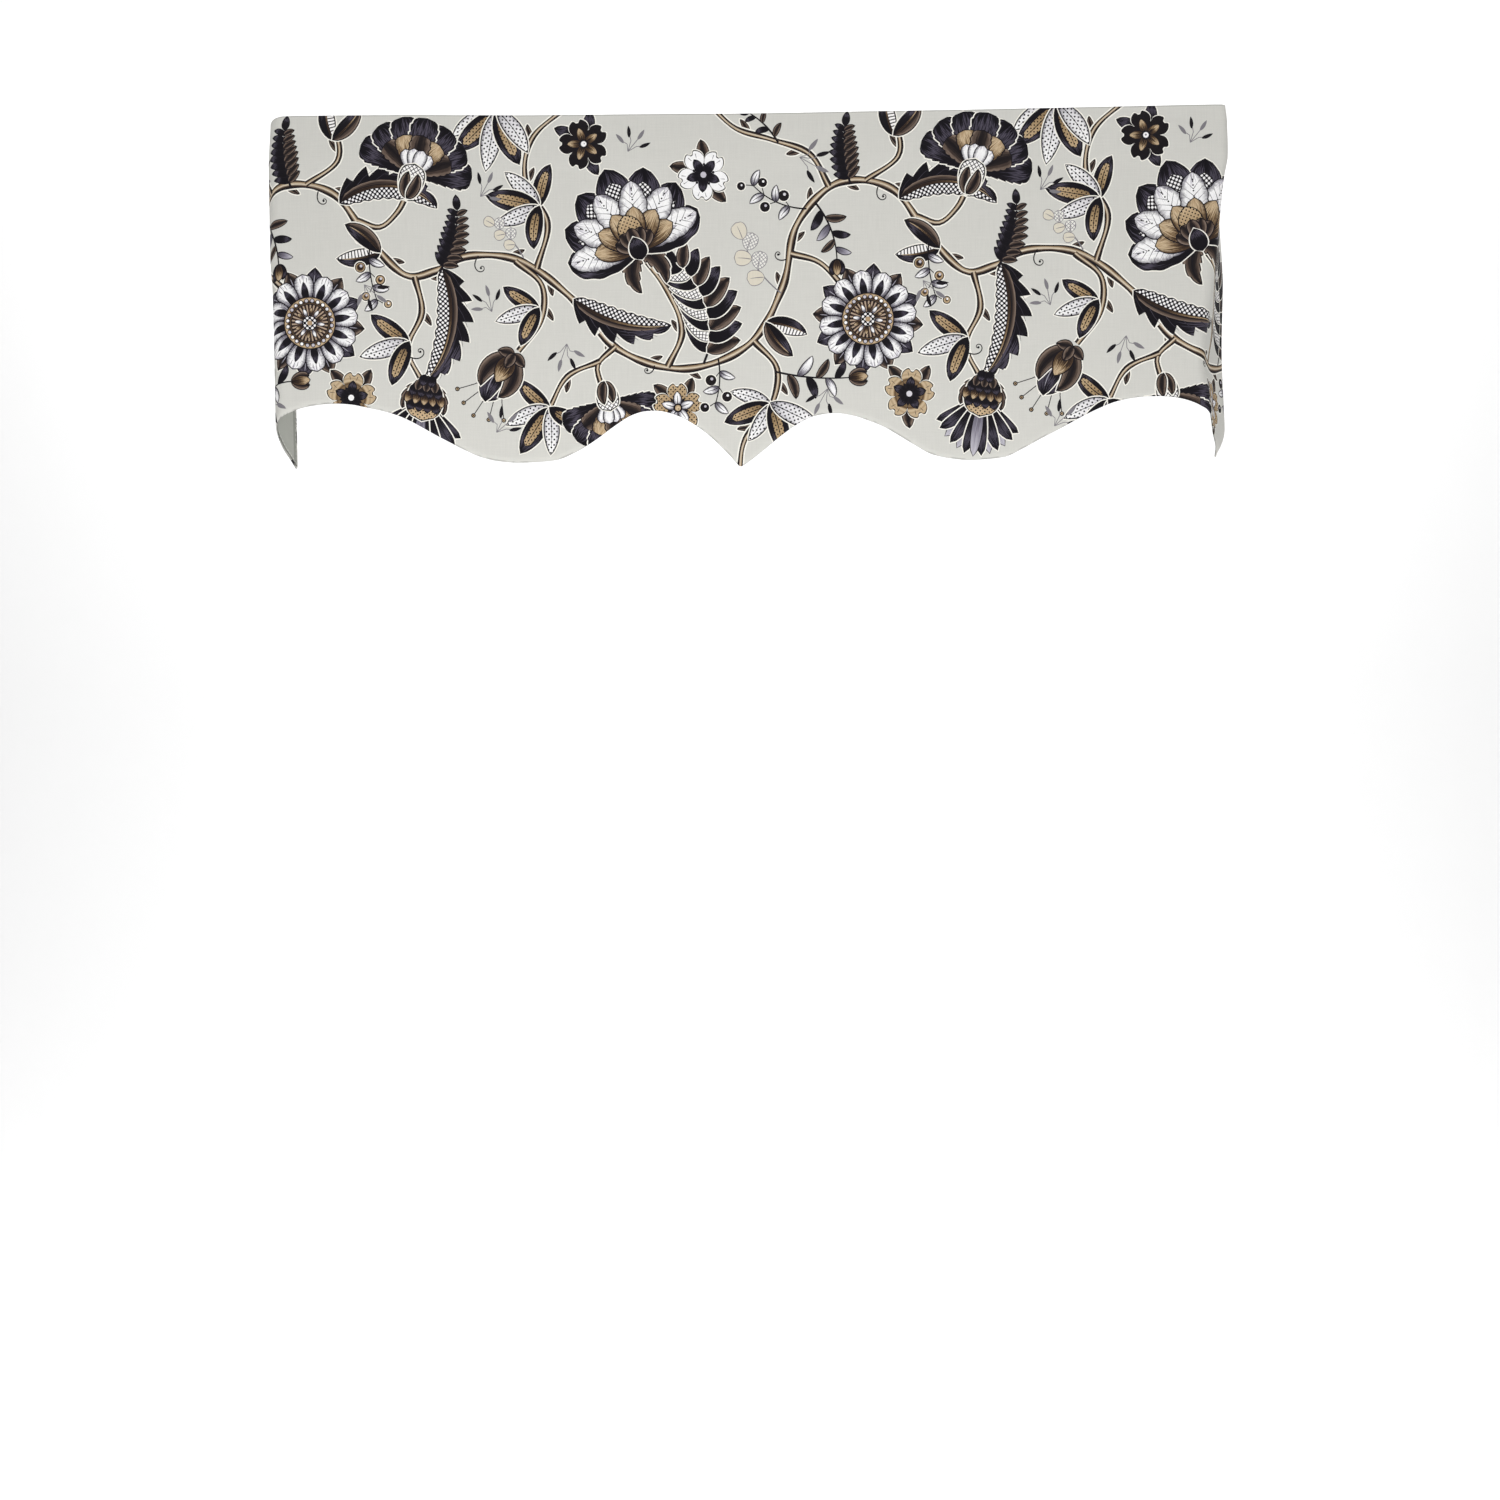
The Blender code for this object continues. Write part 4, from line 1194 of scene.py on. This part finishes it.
def patternMask(tree, look):
    # 1 where the second colour of an ink lies, in each motif's own coordinates
    cell = addNode(tree, "UVMap", uv_map="local")[0]
    pattern, size = look["pattern"], look["size"]
    if pattern == "rays":
        xyz = addNode(tree, "SeparateXYZ", cell)
        angle = addNode(tree, "Math ARCTAN2", xyz[1], xyz[0])[0]
        turns = addNode(tree, "Math MULTIPLY", angle, look["rays"])[0]
        ray = addNode(tree, "Math SINE", turns)[0]
        return addNode(tree, "Math GREATER_THAN", ray, 1 - 2 * size)[0]
    turn = 0.0 if pattern == "bars" else math.pi / 4
    cell = addNode(tree, "Mapping", {"Vector": cell, "Rotation": (0, 0, turn),
                                     "Scale": (1 / look["pitch"],) * 3})[0]
    for operation, amount in (("FRACTION", 0.0), ("SUBTRACT", 0.5), ("ABSOLUTE", 0.0)):
        cell = addNode(tree, "VectorMath " + operation, cell, (amount, amount, 0.0))[0]
    if pattern == "dots":
        far = addNode(tree, "VectorMath LENGTH", cell)[1]
        return addNode(tree, "Math LESS_THAN", far, size)[0]
    xyz = addNode(tree, "SeparateXYZ", cell)
    far = addNode(tree, "Math MINIMUM", xyz[0], xyz[1])[0] if pattern == "net" else xyz[0]
    return addNode(tree, "Math LESS_THAN", far, size / 2)[0]


def shadedInk(tree, look):
    # colours run along or across a motif and break up into streaks, as in an engraving
    uv = addNode(tree, "UVMap", uv_map="share")[0]
    share = addNode(tree, "SeparateXYZ", uv)
    own = addNode(tree, "UVMap", uv_map="place")[0]
    own = addNode(tree, "VectorMath MULTIPLY", own, (60.0, 0.0, 0.0))[0]    # its own noise

    def streaks(across, along):
        spot = addNode(tree, "VectorMath MULTIPLY_ADD", uv, (across, along, 0.0), own)[0]
        return addNode(tree, "TexNoise", {"Vector": spot, "Scale": 1.6, "Detail": 3.0,
                                          "Roughness": 0.7})[0]

    middle = addNode(tree, "Math ABSOLUTE", share[0])[0]
    value = {"along": share[1], "across": share[0], "middle": middle}[look["axis"]]
    push, low = 3.0 * look["streak"], look["stops"][0][0]
    value = addNode(tree, "Math MULTIPLY_ADD", streaks(look["count"] / 2, 1.0), push, value)[0]
    value = addNode(tree, "MapRange", value, low + push / 2, 1.0 + push / 2)[0]
    colour = addNode(tree, "ValToRGB", value)[0]
    ramp = colour.node.color_ramp.elements       # it runs from 0 to 1, whatever the axis does
    for k, (position, hexText) in enumerate(look["stops"]):
        element = ramp[k] if k < 2 else ramp.new(1.0)
        element.position = (position - low) / (1 - low)
        element.color = linearColour(hexText)
    if "rim" in look:
        first, last, hexText = look["rim"]
        edge = addNode(tree, "Math MULTIPLY_ADD", streaks(0.8, 12.0), 0.9, middle)[0]
        hatched = addNode(tree, "MapRange", edge, first, last)[0]
        colour = addNode(tree, "Mix", {0: hatched, 6: colour, 7: linearColour(hexText)},
                         data_type="RGBA")[2]
    return colour


def inkMaterial(name):
    look = inkLooks[name]
    plain = look.get("colour", "#808080")
    material, tree, shader = newMaterial("cotton_" + name, plain, cottonLook["roughness"],
                                         Sheen_Weight=cottonLook["sheen"], Sheen_Roughness=0.5,
                                         Specular_IOR_Level=cottonLook["specular"])
    colour = shadedInk(tree, look) if "stops" in look else linearColour(plain)
    if "pattern" in look:
        colour = addNode(tree, "Mix", {0: patternMask(tree, look), 6: colour,
                                       7: linearColour(look["mark"])}, data_type="RGBA")[2]
    weaveInto(tree, shader, colour, cottonLook["bump"], True)
    return material


def buildMesh(name, places, normals, triangles, materials, materialIndex, uvMaps):
    mesh = bpy.data.meshes.new(name)
    mesh.from_pydata(places.tolist(), [], triangles.tolist())
    for material in materials:
        mesh.materials.append(material)
    mesh.polygons.foreach_set("material_index", np.asarray(materialIndex, np.int32))
    mesh.polygons.foreach_set("use_smooth", np.ones(len(triangles), bool))
    for label, values in uvMaps.items():
        mesh.uv_layers.new(name=label).data.foreach_set("uv", values.astype(np.float32).ravel())
    mesh.validate()
    mesh.normals_split_custom_set_from_vertices(normals.astype(np.float32).tolist())
    return addObject(name, mesh)


def bakeLayout(points, inner):
    # the cloth's two halves one above the other, and its inside as a low strip below
    x, y = points.T
    if inner:
        return np.stack([0.01 + 0.98 * (x + 0.67) / 1.33, 0.005 + 0.05 * (y + 0.44) / 0.45], -1)
    middle, halfSpan = -0.006, 0.672
    right = np.repeat(x.reshape(-1, 3).mean(1) > middle, 3)
    across = 0.012 + 0.97 * np.where(right, x - middle, x + 0.674) / halfSpan
    up = np.where(right, 0.065, 0.535) + 0.455 * (y + 0.438) / 0.446
    return np.stack([across, up], -1)


reverse, tree, shader = newMaterial("cotton_reverse", "#DAD7CE", cottonLook["roughness"])
materials = [inkMaterial(name) for name in inkNames] + [reverse]
uvMaps["OFBake"] = bakeLayout(uvMaps["cloth"], False)
innerMaps = {"cloth": innerUv, "OFBake": bakeLayout(innerUv, True)}
printedCloth = buildMesh(
    "printed_cloth", allPlaces, allNormals, allTriangles, materials,
    np.concatenate([inkIndex, np.full(len(innerTriangles), len(inkNames))]),
    {label: np.concatenate([values, innerMaps.get(label, np.zeros_like(innerUv))])
     for label, values in uvMaps.items()})
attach(printedCloth, "root")
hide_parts("valance_cloth")
print("printed cloth built")


# Plain cotton lining, pressed: flatter and duller than the face. Its grey cream is partly the lining's
# own colour and partly painted shade, for the shaded inside of the returns.

liningLook = {
    # colour: partly painted shade, darker than the lining's own
    "colour": "#A0A19A", "roughness": 0.9, "specular": 0.2, "bump": 0.5,
    "outer": -0.00095, "inner": -0.00195,         # offsets of its two sides, 1 mm thick
    "inset": (0.0020, 0.0032, 0.0030),            # short of the top, sides and hem
    "slack": 0.0011,                              # it is cut a little full and bags by this
    # slip stitches, mm: a real thread is 0.3 thick, drawn 0.9 so that it shows
    "stitchIn": 2.6, "stitchThick": 0.9, "stitchPitch": 6.0, "stitchLong": 0.55,
    "stitchColour": "#D9D8D0", "stitchHeight": 0.0002,
    # painted shade: the lining is darker in a band along its back edges, for less light through the
    # extra layers of the side hems
    "sideHem": 10.0, "sideHemShade": 0.70,        # more layers at the back edges, less light
    "rows": 46, "edgeFade": 0.04,                 # of its mesh; where the bagging dies away
}


def buildLining(material):
    # a grid of rows along the hem, once for each side, closed round the edge
    top, side, low = liningLook["inset"]
    s = spacedS(cloth["leftEnd"] + side, cloth["rightEnd"] - side, meshPlan["frontStep"])
    drop = hemDrop(s) - low
    t = top + (drop - top) * (np.linspace(0.0, 1.0, liningLook["rows"]) ** 0.98)[:, None]
    last = np.clip((cloth["curlWidth"] - low) / (drop - top), 0, 1)
    t = np.insert(t, -1, drop - (drop - top) * last * 0.5, 0)    # one row more in the hem's curl
    rows, cols = t.shape
    s = np.broadcast_to(s, t.shape)
    flatPoints = np.stack([s, -t], -1).reshape(-1, 2)
    normal = hangNormal(flatPoints)
    toHem = np.minimum(t - top, drop - t)                        # metres in from the edges
    toSide = np.minimum(s - s[0, 0], s[0, -1] - s)
    slack = liningLook["slack"] * (0.5 + 0.3 * np.sin(47 * s + 8 * t + 0.7)
                                   + 0.2 * np.sin(19 * s - 41 * t + 2.1))
    for near in (toHem, toSide):
        slack = slack * np.clip(near / liningLook["edgeFade"], 0, 1)
    back = hang(flatPoints, liningLook["inner"]) - normal * slack.ravel()[:, None]
    down, across = np.gradient(back.reshape(rows, cols, 3), axis=(0, 1))
    backNormal = unit(np.cross(down, across).reshape(-1, 3))
    backNormal *= -np.sign((backNormal * normal).sum(1))[:, None]
    a = (np.arange(rows - 1)[:, None] * cols + np.arange(cols - 1)).ravel()
    b, c, d = a + 1, a + cols, a + cols + 1
    front = np.concatenate([np.stack([a, c, b], -1), np.stack([b, c, d], -1)])
    shift = rows * cols
    loop = np.concatenate([np.arange(cols), np.arange(2, rows) * cols - 1,
                           shift - 1 - np.arange(cols), np.arange(rows - 2, 0, -1) * cols])
    following = np.roll(loop, -1)
    triangles = np.concatenate([front, front[:, ::-1] + shift,
                                np.stack([loop, following, following + shift], -1),
                                np.stack([loop, following + shift, loop + shift], -1)])
    uvMaps = {"cloth": flatPoints, "hemEdge": np.stack([s, toHem], -1).reshape(-1, 2) * 1000,
              "sideEdge": np.stack([t, toSide], -1).reshape(-1, 2) * 1000}
    return buildMesh("lining", np.concatenate([hang(flatPoints, liningLook["outer"]), back]),
                     np.concatenate([normal, backNormal]), triangles, [material],
                     np.zeros(len(triangles)),
                     {label: np.concatenate([values, values])[triangles].reshape(-1, 2)
                      for label, values in uvMaps.items()})


def stitchMask(tree):
    # 1 on the slip stitches that hold the lining, which follow its edges
    total = 0.0
    for label in ("hemEdge", "sideEdge"):
        xyz = addNode(tree, "SeparateXYZ", addNode(tree, "UVMap", uv_map=label)[0])
        turn = addNode(tree, "Math MULTIPLY", xyz[0], 1 / liningLook["stitchPitch"])[0]
        turn = addNode(tree, "Math FRACT", turn)[0]
        on = addNode(tree, "Math LESS_THAN", turn, liningLook["stitchLong"])[0]
        near = addNode(tree, "Math COMPARE", xyz[1], liningLook["stitchIn"],
                       liningLook["stitchThick"] / 2)[0]
        total = addNode(tree, "Math MULTIPLY_ADD", on, near, total, use_clamp=True)[0]
    return total


liningMaterial, tree, shader = newMaterial("lining_cotton", liningLook["colour"],
                                           liningLook["roughness"],
                                           Specular_IOR_Level=liningLook["specular"])
stitches = stitchMask(tree)
liningColourAndShade = addNode(tree, "Mix", {0: stitches, 6: linearColour(liningLook["colour"]),
                                     7: linearColour(liningLook["stitchColour"])},
                       data_type="RGBA")[2]
# painted shade along the back edges of the lining
fromSide = addNode(tree, "SeparateXYZ", addNode(tree, "UVMap", uv_map="sideEdge")[0])[1]
paintedSideShade = addNode(tree, "MapRange", fromSide, liningLook["sideHem"] - 1,
                liningLook["sideHem"] + 1, liningLook["sideHemShade"], 1.0)[0]
liningColourAndShade = addNode(tree, "Mix", {0: 1.0, 6: liningColourAndShade, 7: paintedSideShade}, data_type="RGBA",
                       blend_type="MULTIPLY")[2]
stitchHeight = addNode(tree, "Math MULTIPLY", stitches, liningLook["stitchHeight"])[0]
weaveInto(tree, shader, liningColourAndShade, liningLook["bump"], False, stitchHeight)
lining = buildLining(liningMaterial)
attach(lining, "root")
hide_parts("valance_lining")

# flat area of the cloth: 52 in by 17 in over all, less what the scallops take away; the lining is
# smaller by its inset
sampleS = np.linspace(cloth["leftEnd"], cloth["rightEnd"], 800)
flatArea = float(np.mean(hemDrop(sampleS)) * (cloth["rightEnd"] - cloth["leftEnd"]))
print("lining built, flat area", round(flatArea, 4))


stageLook = {
    "floorHeight": -2.15, "backdrop": 4.2, "halfWidth": 16.0, "colour": "#FFFFFF",
    "front": -7.0, "height": 7.0, "sweep": 1.5,  # radius between floor and backdrop
    "worldColour": "#FFFFFF", "worldStrength": 0.44,
}
lightPlan = {
    # name: place, aim, size, watts
    "key": ((1.3, -2.7, 0.3), (0.0, 0.0, -0.2), 1.8, 10.6),
    "low": ((-0.2, -1.1, -1.5), (0.0, 0.0, -0.3), 1.6, 21.0),
    "backdrop": ((0.0, 1.1, 3.0), (0.0, 4.2, -0.8), 4.2, 180.0),
}
cameraPlan = {
    "place": (0.01343, -2.01784, -0.71518), "yaw": 0.4813, "pitch": -1.8, "roll": -0.535,
    "sensor": 36.0, "focal": 36.0 * 1630.3 / 1500.0, "clip": (0.05, 60.0),
}


def addStage():
    # floor that sweeps up into a backdrop
    back, wide, sweep = stageLook["backdrop"], stageLook["halfWidth"], stageLook["sweep"]
    profile = [(stageLook["front"], 0.0)]
    for k in range(13):
        a = k / 12 * math.pi / 2
        profile.append((back - sweep + sweep * math.sin(a), sweep - sweep * math.cos(a)))
    profile.append((back, stageLook["height"]))
    mesh = bpy.data.meshes.new("backdrop")
    mesh.from_pydata([(x, y, z + stageLook["floorHeight"]) for y, z in profile for x in (-wide, wide)],
                     [], [(i, i + 1, i + 3, i + 2) for i in range(0, 2 * len(profile) - 2, 2)])
    mesh.polygons.foreach_set("use_smooth", [True] * len(mesh.polygons))
    mesh.materials.append(newMaterial("backdrop_paper", stageLook["colour"], 0.95)[0])
    addObject("backdrop", mesh)


def addLight(name, place, aim, size, watts):
    data = bpy.data.lights.new(name, "AREA")
    data.energy, data.size, data.shape = watts, size, "SQUARE"
    obj = addObject(name, data)
    obj.location = place
    obj.rotation_euler = (Vector(aim) - Vector(place)).to_track_quat("-Z", "Y").to_euler()
    obj.visible_camera = False


def addCamera():
    yaw, pitch, roll = (math.radians(cameraPlan[k]) for k in ("yaw", "pitch", "roll"))
    forward = Vector((-math.sin(yaw) * math.cos(pitch), math.cos(yaw) * math.cos(pitch),
                      math.sin(pitch)))
    right = Vector((math.cos(yaw), math.sin(yaw), 0.0))
    up = right.cross(forward)
    right, up = (right * math.cos(roll) + up * math.sin(roll),
                 up * math.cos(roll) - right * math.sin(roll))
    data = bpy.data.cameras.new("camera")
    data.lens, data.sensor_width = cameraPlan["focal"], cameraPlan["sensor"]
    data.clip_start, data.clip_end = cameraPlan["clip"]
    obj = addObject("camera", data)
    obj.matrix_world = (Matrix.Translation(cameraPlan["place"])
                        @ Matrix((right, up, -forward)).transposed().to_4x4())
    bpy.context.scene.camera = obj


addStage()
for name, (place, aim, size, watts) in lightPlan.items():
    addLight(name, place, aim, size, watts)
addCamera()
world = bpy.data.worlds.new("studio")
world.use_nodes = True
background = world.node_tree.nodes["Background"].inputs
background["Color"].default_value = linearColour(stageLook["worldColour"])
background["Strength"].default_value = stageLook["worldStrength"]
bpy.context.scene.world = world
bpy.context.scene.view_settings.view_transform = "Standard"

print("scene ready")
